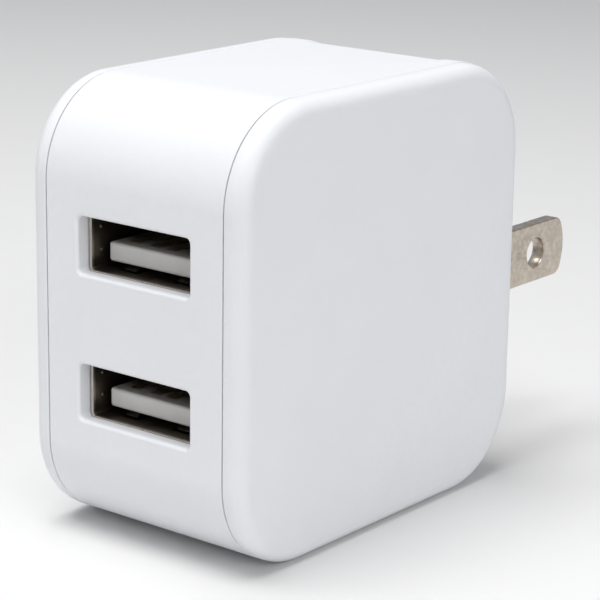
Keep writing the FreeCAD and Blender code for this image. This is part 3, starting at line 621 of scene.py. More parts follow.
def set_stage():
    """A pale floor with a fine even texture, soft lights and a pale surround."""
    bpy.context.scene.view_settings.view_transform = "Standard"
    extent = 3000.0
    floor = mesh_piece("floor", [(-extent, -extent, 0), (extent, -extent, 0), (extent, extent, 0),
                                 (-extent, extent, 0)], [(0, 1, 2, 3)])
    floor.location.z = -0.02 * MM
    finish = plastic("floor_pale", rgba(0.80, 0.796, 0.786), rgba(0.78, 0.776, 0.766), 0.6, 0.7,
                     grain=900.0, bump=(0.05, 0.05), wear_and_light_mark=0.0)
    floor.data.materials.append(finish)
    world = bpy.data.worlds.new("world")
    world.use_nodes = True
    sky = Tree(world.node_tree)
    direction = sky.add("ShaderNodeTexCoord").outputs["Generated"]
    height = sky.add("ShaderNodeSeparateXYZ", {0: direction}).outputs[2]
    share = sky.remap(height, 0.05, 0.75, 0.0, 1.0)
    tone = sky.blend_colour(share, rgba(0.45, 0.465, 0.495), rgba(0.24, 0.245, 0.26))
    sky.feed(world.node_tree.nodes["Background"].inputs["Color"], tone)
    bpy.context.scene.world = world
    area_light("top_light", (-0.05, -0.10, 0.50), 2.55)
    area_light("side_light", (0.55, -0.22, 0.27), 1.1)


set_camera()
set_stage()

slots = {entry["node"]: entry["material_slot"] for entry in frame["record"]["subparts"]}
for node_name, node_object in frame["nodes"].items():
    node_object.data.materials.clear()
    node_object.data.materials.append(materials[slots[node_name]])


# ---- geometry node helpers ----

def geometry_group(name, floats, integers, takes_points=False):
    """A geometry tree with named sizes, a place, a turn and a material."""
    group = bpy.data.node_groups.new(name, "GeometryNodeTree")
    tree = Tree(group)
    if takes_points:
        tree.socket("Points", "NodeSocketGeometry")
    for label in floats:
        tree.socket(label, FLOAT)
    for label in integers:
        tree.socket(label, "NodeSocketInt")
    tree.socket("Turn", VECTOR)
    tree.socket("Place", VECTOR)
    tree.socket("Material", "NodeSocketMaterial")
    tree.socket("Geometry", "NodeSocketGeometry", "OUTPUT")
    return group, tree, tree.add("NodeGroupInput").outputs, tree.add("NodeGroupOutput")


def by_index(tree, kind, values):
    """For each element, the value whose number is its index."""
    index = tree.add("GeometryNodeInputIndex").outputs[0]
    switch = tree.add("GeometryNodeIndexSwitch", {"Index": index}, data_type=kind)
    while len(switch.index_switch_items) < len(values):
        switch.index_switch_items.new()
    for number, value in enumerate(values):
        tree.feed(switch.inputs[number + 1], value)
    return switch.outputs[0]


def corner_path(tree, spots):
    """A polyline through the spots."""
    line = tree.add("GeometryNodeMeshLine", {"Count": len(spots)})
    path = tree.add("GeometryNodeMeshToCurve", {"Mesh": line.outputs[0]}).outputs[0]
    place = by_index(tree, "VECTOR", spots)
    return tree.add("GeometryNodeSetPosition", {"Geometry": path, "Position": place}).outputs[0]


def turned_profile(tree, corners, base):
    """A turned solid: (along, radius) corners swept round a small circle."""
    spots = [tree.spot(X=tree.maths("SUBTRACT", radius, base), Y=tree.maths("MULTIPLY", along, -1.0))
             for along, radius in corners]
    profile = corner_path(tree, spots)
    ring = tree.add("GeometryNodeCurvePrimitiveCircle", {"Resolution": 16, "Radius": base})
    skin = tree.add("GeometryNodeCurveToMesh", {"Curve": ring.outputs[0], "Profile Curve": profile})
    welded = tree.add("GeometryNodeMergeByDistance", {"Geometry": skin.outputs[0], "Distance": 0.002 * MM})
    return welded.outputs[0]


def row_of(tree, geometry, count, pitch, axis):
    """Instances in a centred row."""
    reach = tree.maths("MULTIPLY", tree.maths("MULTIPLY", tree.maths("SUBTRACT", count, 1.0), pitch), -0.5)
    line = tree.add("GeometryNodeMeshLine", {"Count": count, "Start Location": tree.spot(**{axis: reach}),
                                             "Offset": tree.spot(**{axis: pitch})})
    row = tree.add("GeometryNodeInstanceOnPoints", {"Points": line.outputs[0], "Instance": geometry})
    return row.outputs[0]


def colour_and_end(tree, geometry, given, sink):
    """Realizes what a tree has made and gives it its material."""
    real = tree.add("GeometryNodeRealizeInstances", {"Geometry": geometry})
    done = tree.add("GeometryNodeSetMaterial", {"Geometry": real.outputs[0], "Material": given["Material"]})
    tree.feed(sink.inputs[0], done.outputs[0])


def place_and_end(tree, geometry, given, sink):
    """Turns and places what a tree has made, and gives it its material."""
    placed = tree.add("GeometryNodeTransform", {"Geometry": geometry, "Rotation": given["Turn"],
                                                "Translation": given["Place"]})
    colour_and_end(tree, placed.outputs[0], given, sink)


def grow(piece, group, values):
    """Gives a piece the mesh that a geometry tree makes with these values."""
    modifier = piece.modifiers.new("grow", "NODES")
    modifier.node_group = group
    for item in group.interface.items_tree:
        if item.in_out == "INPUT" and item.name in values:
            modifier[item.identifier] = values[item.name]
    return settle(piece)


def grown(name, group, values):
    return grow(place_object(name, bpy.data.meshes.new(name)), group, values)


# ---- housing ----

def covers_tree():
    """Sweeps the cover's section round the rounded-square outline."""
    group, tree, given, sink = geometry_group(
        "housing cover", ["Depth", "Height", "Corner Radius", "Rim", "Edge Radius", "Seam Round", "Lip Depth",
                          "Lip Inset", "Lip Thickness", "Plate"], ["Arc Steps"])
    square = tree.add("GeometryNodeCurvePrimitiveQuadrilateral",
                      {"Width": given["Depth"], "Height": given["Height"]})
    outline = tree.add("GeometryNodeFilletCurve", {"Curve": square.outputs[0], "Count": given["Arc Steps"],
                                                   "Radius": given["Corner Radius"]}, mode="POLY")
    lip_inner = tree.maths("ADD", given["Lip Inset"], given["Lip Thickness"])
    lip_tip = tree.maths("MULTIPLY", given["Lip Depth"], -1.0)
    plate_inner = tree.maths("SUBTRACT", given["Rim"], given["Plate"])
    flat_start = tree.maths("MULTIPLY", given["Edge Radius"], 1.02)
    corners = [(lip_inner, plate_inner, 0.0), (lip_inner, lip_tip, 0.0), (given["Lip Inset"], lip_tip, 0.0),
               (given["Lip Inset"], 0.0, 0.0), (0.0, 0.0, given["Seam Round"]),
               (0.0, given["Rim"], given["Edge Radius"]), (flat_start, given["Rim"], 0.0)]
    section = corner_path(tree, [tree.spot(X=tree.maths("MULTIPLY", inset, -1.0),
                                           Y=tree.maths("MULTIPLY", out, -1.0)) for inset, out, _ in corners])
    radii = by_index(tree, "FLOAT", [radius for _, _, radius in corners])
    rounded = tree.add("GeometryNodeFilletCurve", {"Curve": section, "Count": 8, "Radius": radii,
                                                   "Limit Radius": True}, mode="POLY")
    rim = tree.add("GeometryNodeCurveToMesh", {"Curve": outline.outputs[0],
                                               "Profile Curve": rounded.outputs[0]})
    place_and_end(tree, rim.outputs[0], given, sink)
    return group


def build_covers():
    tree = covers_tree()
    cover_x = SEAM_X + SEAM_GAP / 2
    for side, name in ((-1, "left_cover"), (1, "right_cover")):
        values = {"Depth": (BACK_Y - FRONT_Y) * MM, "Height": TOP_Z * MM, "Corner Radius": CORNER_RADIUS * MM,
                  "Rim": (OUTER_X - SEAM_X - SEAM_GAP / 2) * MM, "Edge Radius": COVER_EDGE_RADIUS * MM,
                  "Seam Round": SEAM_ROUND * MM, "Lip Depth": (cover_x - LIP_X) * MM,
                  "Lip Inset": (WALL + LIP_CLEARANCE) * MM, "Lip Thickness": LIP_THICKNESS * MM,
                  "Plate": WALL * MM, "Arc Steps": ARC_STEPS,
                  "Place": (side * cover_x * MM, (FRONT_Y + BACK_Y) / 2 * MM, MID_Z * MM),
                  "Turn": (math.radians(90), 0.0, math.radians(90 * side)),
                  "Material": materials["housing_white"]}
        piece = smooth(outward(closed(grown(name + "_shell", tree, values))), 30)
        stand_for(piece, "housing", name)


def build_band():
    """The centre band, hollowed like the real moulding, with rounded window and bay edges."""
    bay_outer = retainer_high.x
    bay_bottom = PIVOT_Z - BARREL_RADIUS - BARREL_ROOM
    foot = PIVOT_Z + math.sqrt((BARREL_RADIUS + BARREL_ROOM) ** 2 - (PIVOT_Y - BAY_FLOOR_Y) ** 2)
    band = plate("centre_band_shell", side_outline(0.0, BAY_CORNER_RADIUS), -BAND_HALF, BAND_HALF,
                 "housing_white")
    cavity = plate("cavity", side_outline(WALL, BAY_CORNER_RADIUS), -20.0, 20.0)
    tray_y, tray_z = BAY_FLOOR_Y - BAY_WALL, bay_bottom - BAY_WALL
    carve(cavity, block("tray", -bay_outer, bay_outer, tray_y, FAR, tray_z, FAR))
    carve(cavity, block("bearing", -bay_outer, bay_outer, RETAINER_FRONT_Y, tray_y + 0.1, tray_z, foot))
    carve(band, cavity)
    carve(band, block("bay", -BAY_HALF, BAY_HALF, BAY_FLOOR_Y, FAR, bay_bottom, FAR))
    carve(band, block("behind", -BAY_HALF, BAY_HALF, RETAINER_FRONT_Y - 1, BAY_FLOOR_Y + 0.1,
                      bay_bottom, foot))
    carve(band, block("slot", -bay_outer - 0.1, bay_outer + 0.1, RETAINER_FRONT_Y - 1, PIVOT_Y,
                      PIVOT_Z - BEARING_RADIUS, PIVOT_Z + BEARING_RADIUS))
    carve(band, bar_x("seat", -bay_outer - 0.1, bay_outer + 0.1, PIVOT_Y, PIVOT_Z, BEARING_RADIUS))
    for node in ("usb_shell_upper", "usb_shell_lower"):
        low, high = box_mm(node)
        z = (low.z + high.z) / 2
        carve(band, window_bar("window", WINDOW_WIDTH, WINDOW_HEIGHT, WINDOW_CORNER, FRONT_Y - 1,
                               FRONT_Y + 3, z))
        carve(band, window_bar("pocket", POCKET_WIDTH, high.z - low.z + 0.2, POCKET_CORNER, low.y - 0.05,
                               FRONT_Y + 3, z))

    def on_skin(p):
        """Whether a point lies on the band's back, its top or the arc between them."""
        corner_y, corner_z = BACK_Y - BAY_CORNER_RADIUS, TOP_Z - BAY_CORNER_RADIUS
        if p.y > corner_y and p.z > corner_z:
            return near(math.hypot(p.y - corner_y, p.z - corner_z), BAY_CORNER_RADIUS, 0.02)
        return near(p.y, BACK_Y) or near(p.z, TOP_Z)

    def in_outer_half(p):
        """Whether a point lies in the outer half of the band's wall."""
        if not (FRONT_Y + WALL / 2 < p.y < BACK_Y - WALL / 2 and WALL / 2 < p.z < TOP_Z - WALL / 2):
            return True
        y = min(max(p.y, FRONT_Y + CORNER_RADIUS), BACK_Y - CORNER_RADIUS)
        z = min(max(p.z, CORNER_RADIUS), TOP_Z - CORNER_RADIUS)
        return math.hypot(p.y - y, p.z - z) > CORNER_RADIUS - WALL / 2

    def window_rim(a, b):
        return all(near(p.y, FRONT_Y) and abs(p.x) < WINDOW_WIDTH / 2 + 0.1 for p in (a, b))

    def bay_mouth(a, b):
        """The loop where the bay breaks the band's outer skin."""
        on_sides = all(near(abs(p.x), BAY_HALF) and p.y > BAY_FLOOR_Y - 0.01 and p.z > bay_bottom - 0.01
                       and on_skin(p) for p in (a, b))
        on_foot = all(near(p.z, bay_bottom) and near(p.y, BACK_Y) for p in (a, b))
        on_top = all(near(p.y, BAY_FLOOR_Y) and near(p.z, TOP_Z) for p in (a, b))
        return on_sides or on_foot or on_top

    def seam_rim(a, b):
        return all(near(abs(p.x), BAND_HALF) and in_outer_half(p) for p in (a, b))

    soften(band, WINDOW_ROUND, 4, window_rim)
    soften(band, BAY_ROUND, 4, bay_mouth)
    soften(band, SEAM_ROUND, 3, seam_rim)
    stand_for(smooth(band), "housing", "centre_band")


build_covers()
build_band()


# ---- shared shapes ----

def centre_yz(low, high):
    """The middle of a box seen along X."""
    return (low.y + high.y) / 2, (low.z + high.z) / 2


def rounded_path(points, radius, steps=6):
    """A polyline with each corner turned on an arc."""
    points = [Vector(p) for p in points]
    path = [points[0]]
    for before, corner, after in zip(points, points[1:], points[2:]):
        way_in, way_out = (corner - before).normalized(), (after - corner).normalized()
        turn = way_in.angle(way_out)
        if turn < 1e-3:
            path.append(corner)
            continue
        cut_back = min(radius * math.tan(turn / 2), (corner - before).length * 0.49,
                       (after - corner).length * 0.49)
        real = cut_back / math.tan(turn / 2)
        centre = corner + (way_out - way_in).normalized() * (real / math.cos(turn / 2))
        start = corner - way_in * cut_back - centre
        axis = way_in.cross(way_out).normalized()
        for step in range(steps + 1):
            path.append(centre + Matrix.Rotation(turn * step / steps, 3, axis) @ start)
    path.append(points[-1])
    return path


def bent_strip(corners, radius):
    """A strip's path from (y, z) corners, with its bends rounded."""
    return rounded_path([(y, z, 0) for y, z in corners], radius)


def neighbours(path, number):
    """The points before and after one point of a path."""
    return path[max(number - 1, 0)], path[min(number + 1, len(path) - 1)]


def ribbon(name, path, thickness, x0, x1):
    """A folded strip: a path in the YZ plane, thickened, from x0 to x1."""
    rings = []
    for number, point in enumerate(path):
        before, after = neighbours(path, number)
        along = (Vector(after[:2]) - Vector(before[:2])).normalized()
        side = Vector((-along.y, along.x)) * thickness / 2
        here = Vector(point[:2])
        outer, inner = here + side, here - side
        rings.append([(x0, outer.x, outer.y), (x1, outer.x, outer.y),
                      (x1, inner.x, inner.y), (x0, inner.x, inner.y)])
    return soften(outward(mesh_piece(name, *loft(rings))), 0.04, 2)


def lathe(name, profile, place, steps=48):
    """A turned shape. The profile is (along, radius); place maps (along, across, up)."""
    rings = [[place(along, a, b) for a, b in circle(max(radius, WELD), steps)] for along, radius in profile]
    return outward(mesh_piece(name, *loft(rings)))


def tube(name, path, radius, steps=16):
    """A round wire along a path."""
    rings = []
    side = None
    for number, point in enumerate(path):
        before, after = neighbours(path, number)
        along = (after - before).normalized()
        if side is None:
            side = along.orthogonal().normalized()
        side = (side - along * side.dot(along)).normalized()
        other = along.cross(side)
        rings.append([point + side * a + other * b for a, b in circle(radius, steps)])
    return outward(mesh_piece(name, *loft(rings)))


def box_piece(name, x0, x1, y0, y1, z0, z1, edge=0.06, steps=2):
    """A block with its edges rounded."""
    return soften(outward(block(name, x0, x1, y0, y1, z0, z1)), edge, steps)


# ---- USB sockets ----

def leaf_path(level, inwards, y0):
    """One spring leaf: flush at its rear end, bowed inwards, turned back at its front end."""
    bow = [(SLOT_LENGTH, 0.0), (4.2, 0.16), (1.5, 0.42), (0.9, 0.42), (0.35, 0.2)]
    return bent_strip([(y0 + along, level + dip * inwards) for along, dip in bow], 1.2)


def wall_dimples(side, y, top_z):
    """Two small domes pressed inwards through one side wall."""
    wall_x = SHELL_WIDTH / 2 - SHEET
    dome = [(side * (wall_x - rise), radius)
            for rise, radius in ((-0.05, 0.24), (0.06, 0.2), (0.12, 0.11), (0.14, 0.0))]
    return [lathe("dimple", dome, lambda a, b, c, z=top_z - down: (a, y + b, z + c), 16)
            for down in (1.2, 3.4)]


def build_shell(where):
    """The folded shell: tube, slots, bowed leaves, dimples, seam and board tabs."""
    low, high = box_mm("usb_shell_" + where)
    z, y0, y1 = (low.z + high.z) / 2, low.y, high.y
    half_w, half_h = SHELL_WIDTH / 2, SHELL_HEIGHT / 2
    slot_y0 = y0 + TONGUE_SETBACK
    slot_y1 = slot_y0 + SLOT_LENGTH
    outer = outward(window_bar("shell", SHELL_WIDTH, SHELL_HEIGHT, SHELL_CORNER, y0, y1, z))
    bore = window_bar("bore", 2 * (half_w - SHEET), 2 * (half_h - SHEET), SHELL_CORNER - SHEET,
                      y0 - 1, y1 + 1, z)
    carve(outer, outward(bore))
    for side in (-1, 1):
        edge = z + side * half_h
        for x in LEAF_XS:
            carve(outer, block("slot", x - 1.1, x + 1.1, slot_y0, slot_y1, edge - 0.5, edge + 0.5))
    carve(outer, block("seam", -0.03, 0.03, y0 - 1, y1 + 1, z - half_h - 0.2, z - half_h + 0.5))
    soften(outer, 0.05, 2, lambda a, b: near(a.y, b.y, 0.02)
           and any(near(a.y, y) for y in (y0, y1, slot_y0, slot_y1)))
    parts = [outer]
    tab_y = y0 + (y1 - y0) * 0.62
    for side in (-1, 1):
        level = z + side * (half_h - SHEET / 2)
        for x in LEAF_XS:
            parts.append(ribbon("leaf", leaf_path(level, -side, slot_y0), SHEET * 0.8, x - 0.7, x + 0.7))
        parts += wall_dimples(side, y0 + 1.3, z + half_h - SHEET)
        parts.append(box_piece("tab", LEG_END, -half_w + 0.9, tab_y, tab_y + 1.6,
                               level - SHEET / 2, level + SHEET / 2))
    shell = smooth(merged("usb_shell_" + where + "_folded", parts, "socket_steel"))
    stand_for(shell, "housing", "usb_shell_" + where)


def socket_middle_z(where):
    low, high = box_mm("usb_shell_" + where)
    return (low.z + high.z) / 2


def build_insulator(where):
    """The tongue, grooved for its contacts, and the block behind it."""
    low, high = box_mm("usb_insulator_" + where)
    z = socket_middle_z(where)
    tongue_z = z - TONGUE_DROP
    top = tongue_z + TONGUE_THICKNESS / 2
    block_y = high.y - 3.6
    tongue = outward(block("tongue", -TONGUE_WIDTH / 2, TONGUE_WIDTH / 2, low.y, block_y + 0.5,
                           tongue_z - TONGUE_THICKNESS / 2, top))
    soften(tongue, 0.28, 3, lambda a, b: min(a.y, b.y) < block_y)
    rear = outward(window_bar("rear", high.x - low.x, high.z - low.z, 0.3, block_y, high.y, z))
    carve(tongue, rear, "UNION")
    for x in CONTACT_XS:
        carve(tongue, block("groove", x - 0.63, x + 0.63, low.y + 1.15, high.y + 1, top - 0.2, top + 0.13))
    piece = merged("usb_insulator_" + where + "_moulded", [tongue], "socket_insulator")
    stand_for(smooth(piece), "housing", "usb_insulator_" + where)


def build_contacts(where):
    """Four plated strips: dipped front ends, folded tails, and bars to the board."""
    z = socket_middle_z(where)
    level = z - TONGUE_DROP + TONGUE_THICKNESS / 2 + 0.12 - STRIP / 2
    front_y = box_mm("usb_insulator_" + where)[0].y + 1.2
    riser_y = box_mm("usb_shell_" + where)[1].y - STRIP / 2
    tail_y = box_mm("usb_contacts_" + where)[1].y - STRIP / 2
    half_w = CONTACT_WIDTH / 2
    parts = []
    for number, x in enumerate(CONTACT_XS):
        tail_z = z + (number - 1.5) * 1.1
        path = bent_strip([(front_y, level - 0.1), (front_y + 0.8, level), (riser_y, level),
                           (riser_y, tail_z), (tail_y, tail_z)], 0.16)
        parts.append(ribbon("strip", path, STRIP * 0.95, x - half_w, x + half_w))
        parts.append(box_piece("bar", LEG_END, x + half_w, tail_y - STRIP / 2, tail_y + STRIP / 2,
                               tail_z - STRIP / 2, tail_z + STRIP / 2, 0.04))
    piece = merged("usb_contacts_" + where + "_folded", parts, "contact_plate")
    stand_for(smooth(piece), "housing", "usb_contacts_" + where)


# ---- folding plug ----

def blade_outline(low, high):
    """A flat blade seen from the side, with a neck at its root and a bowed, rounded tip."""
    half = (high.z - low.z) / 2
    root_y = PIVOT_Y - BARREL_RADIUS + 0.5
    big = (half ** 2 + BLADE_TIP_BULGE ** 2) / (2 * BLADE_TIP_BULGE)
    centre_y = high.y - big
    small = BLADE_TIP_CORNER
    corner_z = half - small
    corner_y = centre_y + math.sqrt((big - small) ** 2 - corner_z ** 2)
    meet = math.atan2(corner_z, corner_y - centre_y)
    points = [(root_y, -BLADE_TAIL_HALF), (BLADE_SHOULDER_Y, -BLADE_TAIL_HALF), (BLADE_SHOULDER_Y, -half)]
    for side in (-1, 1):
        turns = [side * (meet + (math.pi / 2 - meet) * step / 8) for step in range(9)]
        if side < 0:
            turns.reverse()
        points += [(corner_y + small * math.cos(t), side * corner_z + small * math.sin(t)) for t in turns]
        if side < 0:
            bow = [meet * (step / 12 - 1) for step in range(1, 24)]
            points += [(centre_y + big * math.cos(t), big * math.sin(t)) for t in bow]
    points += [(BLADE_SHOULDER_Y, half), (BLADE_SHOULDER_Y, BLADE_TAIL_HALF), (root_y, BLADE_TAIL_HALF)]
    return [(y, PIVOT_Z + z) for y, z in points]


def build_blade(side):
    """A stamped blade: bowed tip, chamfered hole and eased edges."""
    name = "blade_" + side
    low, high = box_mm(name)
    hole_y = BACK_Y + BLADE_HOLE_OUT
    body = outward(plate(name + "_stamped", blade_outline(low, high), low.x, high.x, "blade_nickel"))
    carve(body, outward(bar_x("hole", low.x - 1, high.x + 1, hole_y, PIVOT_Z, BLADE_HOLE_RADIUS, 64)))

    def from_hole(p):
        return math.hypot(p.y - hole_y, p.z - PIVOT_Z)

    def outer_edge(a, b):
        away = from_hole(a) > 2.5 and from_hole(b) > 2.5
        return near(a.x, b.x) and away and min(a.y, b.y) > PIVOT_Y + 1.3

    soften(body, 0.16, 2, lambda a, b: from_hole(a) < 1.7 and from_hole(b) < 1.7 and near(a.x, b.x))
    soften(body, 0.14, 3, outer_edge)
    stand_for(smooth(body, 25), "plug", name)


def build_carrier():
    """The moulded barrel: chamfered ends, collars round the blades, detent flats, trunnions."""
    half = BAY_HALF - 0.3
    end = carrier_high.x
    tip, chamfer = TRUNNION_RADIUS - 0.15, CARRIER_RADIUS - 0.3
    right = [(end, 0), (end, tip), (end - 0.15, TRUNNION_RADIUS), (half, TRUNNION_RADIUS), (half, chamfer),
             (half - 0.3, CARRIER_RADIUS)]
    profile = [(-along, radius) for along, radius in right] + right[::-1]
    barrel = lathe("barrel", profile, lambda a, b, c: (a, PIVOT_Y + b, PIVOT_Z + c), 96)
    flat, wide, far = 3.7, 2.7, 9.0
    carve(barrel, block("flat", -wide, wide, PIVOT_Y - far, PIVOT_Y - flat, PIVOT_Z - far, PIVOT_Z + far))
    carve(barrel, block("flat", -wide, wide, PIVOT_Y - far, PIVOT_Y + far, PIVOT_Z + flat, PIVOT_Z + far))
    room = 0.02
    for side in ("left", "right"):
        low, high = box_mm("blade_" + side)
        x0, x1 = low.x - room, high.x + room
        tail = BLADE_TAIL_HALF + room
        carve(barrel, block("slot", x0, x1, BLADE_SHOULDER_Y - room, PIVOT_Y + far,
                            low.z - room, high.z + room))
        carve(barrel, block("slot", x0, x1, PIVOT_Y - far, BLADE_SHOULDER_Y,
                            PIVOT_Z - tail, PIVOT_Z + tail))
    soften(barrel, 0.12, 2, lambda a, b: abs(a.x) < half - 0.5 and abs(b.x) < half - 0.5)
    piece = merged("blade_carrier_moulded", [barrel], "carrier_white")
    stand_for(smooth(piece), "plug", "blade_carrier")


def build_retainer():
    """The bearing cap: a plate with a lip and two fingers, and all edges eased."""
    low, high = retainer_low, retainer_high
    front = RETAINER_FRONT_Y
    screw_low, screw_high = box_mm("retainer_screws")
    screw_x = screw_high.x - SCREW_HEAD_RADIUS
    screw_z = (screw_low.z + screw_high.z) / 2
    cap = outward(block("plate", low.x, high.x, low.y, front - 0.05, low.z, high.z))
    lip_back = BAY_FLOOR_Y - BAY_WALL - 0.05
    carve(cap, block("lip", low.x, high.x, front - 0.9, lip_back, high.z - 1.2, high.z), "UNION")
    for side in (-1, 1):
        x0, x1 = sorted((side * BAY_HALF, side * high.x))
        carve(cap, block("finger", x0, x1, front - 0.9, PIVOT_Y, PIVOT_Z - TRUNNION_RADIUS,
                         PIVOT_Z + TRUNNION_RADIUS), "UNION")
    carve(cap, bar_x("bearing", low.x - 1, high.x + 1, PIVOT_Y, PIVOT_Z, BEARING_RADIUS))
    for side in (-1, 1):
        carve(cap, bar_y("bore", low.y - 1, front + 1, side * screw_x, screw_z, 0.9))
    for side in ("left", "right"):
        spring_low, spring_high = box_mm("contact_spring_" + side)
        x = (spring_low.x + spring_high.x) / 2
        carve(cap, block("slit", x - 0.65, x + 0.65, low.y - 1, front,
                         spring_low.z - 0.05, spring_low.z + 0.35))
    soften(cap, 0.12, 2, lambda a, b: math.hypot(a.y - PIVOT_Y, a.z - PIVOT_Z) > 1.7)
    piece = merged("plug_retainer_moulded", [cap], "retainer_grey")
    stand_for(smooth(piece), "housing", "plug_retainer")


def screw_thread(name, x, z, y0, y1, core, crest, pitch, steps=32):
    """A threaded shank along Y: every ring's radius follows a helix."""
    rings = []
    count = int((y1 - y0) / pitch * 12)
    for number in range(count + 1):
        y = y0 + (y1 - y0) * number / count
        taper = min(1.0, (y1 - y) / 1.2)
        ring = []
        for i in range(steps):
            phase = (y / pitch - i / steps) % 1.0
            ridge = max(0.0, 1.0 - abs(phase - 0.5) * 4)
            radius = (core + (crest - core) * ridge) * (0.25 + 0.75 * taper)
            turn = 2 * math.pi * i / steps
            ring.append((x + radius * math.cos(turn), y, z + radius * math.sin(turn)))
        rings.append(ring)
    return outward(mesh_piece(name, *loft(rings)))


def build_screws():
    """Two pan-head screws with cross recesses."""
    low, high = box_mm("retainer_screws")
    x0, z0 = high.x - SCREW_HEAD_RADIUS, (low.z + high.z) / 2
    profile = [(0.0, 0), (0.0, 0.8), (0.1, 1.15), (0.35, 1.42), (0.6, SCREW_HEAD_RADIUS),
               (0.9, SCREW_HEAD_RADIUS), (0.98, 1.44), (1.0, 0.7), (1.0, 0)]
    parts = []
    for side in (-1, 1):
        x = side * x0
        head = lathe("head", [(low.y + along, radius) for along, radius in profile],
                     lambda a, b, c: (x + b, a, z0 + c), 40)
        for a, b in ((0.22, 0.85), (0.85, 0.22)):
            carve(head, block("recess", x - a, x + a, low.y - 1, low.y + 0.55, z0 - b, z0 + b))
        parts += [head, screw_thread("shank", x, z0, low.y + 0.95, high.y, 0.6, 0.79, 0.7)]
    piece = merged("retainer_screws_turned", parts, "screw_steel")
    stand_for(smooth(piece), "housing", "retainer_screws")


def bow_path(foot_y, crown_y, middle_z):
    """A bowed leaf's path, from its lower foot to its upper foot."""
    chord, foot = 3.2, 3.7
    rise = crown_y - foot_y
    radius = (chord ** 2 + rise ** 2) / (2 * rise)
    reach = math.asin(chord / radius)
    arc = [(crown_y - radius + radius * math.cos(t), middle_z + radius * math.sin(t), 0)
           for t in (reach * (step / 12 - 1) for step in range(25))]
    ends = [(foot_y, middle_z - foot, 0), (foot_y, middle_z + foot, 0)]
    return [Vector(p) for p in (ends[0], *arc, ends[1])]


def build_spring(name):
    """A bowed leaf; a contact spring also has a tail through the retainer."""
    low, high = box_mm(name)
    x = (low.x + high.x) / 2
    foot_y = RETAINER_FRONT_Y + 0.025 + STRIP / 2
    middle_z = (low.z + high.z) / 2
    parts = [ribbon("bow", bow_path(foot_y, high.y - STRIP / 2, middle_z), STRIP * 0.95, low.x, high.x)]
    if name != "detent_spring":
        level = low.z + STRIP / 2
        tail = bent_strip([(low.y, level), (foot_y, level), (foot_y, low.z + 0.8)], 0.3)
        parts.append(ribbon("tail", tail, STRIP * 0.9, x - 0.6, x + 0.6))
    stand_for(smooth(merged(name + "_formed", parts, slots[name])), "housing", name)


def build_lead(side):
    """An insulated wire with stripped, tinned ends."""
    name = "input_lead_" + side
    low, high = box_mm(name)
    x, y, z = high.x - 0.6, (low.y + high.y) / 2, low.z + 0.6

    def wire(part, top_z, end_x, radius, steps):
        path = rounded_path([(x, y, top_z), (x, y, z), (end_x, y, z)], 1.5, 12)
        return tube(part, path, radius, steps)

    sleeve = wire("wire", high.z - 0.5, low.x + 0.5, 0.58, 24)
    core = wire("core", high.z, low.x - 0.9, 0.25, 12)
    stand_for(smooth(merged(name + "_sleeve", [sleeve], slots[name])), "housing", name)
    rides(smooth(merged(name + "_core", [core], "tinned_leg")), "housing")


for where in ("upper", "lower"):
    build_shell(where)
    build_insulator(where)
    build_contacts(where)
for side in ("left", "right"):
    build_blade(side)
build_carrier()
build_retainer()
build_screws()
for spring in ("contact_spring_left", "contact_spring_right", "detent_spring"):
    build_spring(spring)
for side in ("left", "right"):
    build_lead(side)


# ---- circuit board and what it carries ----

def pin_grid_tree():
    """Round pins with eased ends, in rows."""
    group, tree, given, sink = geometry_group("pin grid", ["Radius", "Length", "Tip", "Pitch Y", "Pitch Z"],
                                              ["Count Y", "Count Z"])
    slim = tree.maths("SUBTRACT", given["Radius"], given["Tip"])
    far = tree.maths("SUBTRACT", given["Length"], given["Tip"])
    corners = [(0.0, 0.0), (0.0, slim), (given["Tip"], given["Radius"]), (far, given["Radius"]),
               (given["Length"], slim), (given["Length"], 0.0)]
    pin = turned_profile(tree, corners, given["Radius"])
    row = row_of(tree, pin, given["Count Y"], given["Pitch Y"], "Y")
    place_and_end(tree, row_of(tree, row, given["Count Z"], given["Pitch Z"], "X"), given, sink)
    return group


def chip_leg_tree():
    """Gull-wing legs along both long sides of a package."""
    group, tree, given, sink = geometry_group(
        "chip legs", ["Half Width", "Rise", "Reach", "Width", "Thickness", "Pitch"], ["Count"])
    foot = tree.maths("MULTIPLY", given["Thickness"], 0.5)
    inside = tree.maths("MULTIPLY", given["Half Width"], 0.9)
    knee, ankle, toe = (tree.maths("ADD", given["Half Width"], tree.maths("MULTIPLY", given["Reach"], share))
                        for share in (0.35, 0.45, 1.0))
    corners = [(inside, given["Rise"]), (knee, given["Rise"]), (ankle, foot), (toe, foot)]
    path = corner_path(tree, [tree.spot(Y=out, Z=up) for out, up in corners])
    bent = tree.add("GeometryNodeFilletCurve", {"Curve": path, "Count": 4, "Limit Radius": True,
                                                "Radius": given["Thickness"]}, mode="POLY")
    section = tree.add("GeometryNodeCurvePrimitiveQuadrilateral", {"Width": given["Width"],
                                                                   "Height": given["Thickness"]})
    leg = tree.add("GeometryNodeCurveToMesh", {"Curve": bent.outputs[0], "Profile Curve": section.outputs[0],
                                               "Fill Caps": True})
    row = row_of(tree, leg.outputs[0], given["Count"], given["Pitch"], "X")
    other = tree.add("GeometryNodeTransform", {"Geometry": row, "Rotation": (0.0, 0.0, math.pi)})
    both = tree.add("GeometryNodeJoinGeometry")
    tree.feed(both.inputs[0], row)
    tree.feed(both.inputs[0], other.outputs[0])
    place_and_end(tree, both.outputs[0], given, sink)
    return group


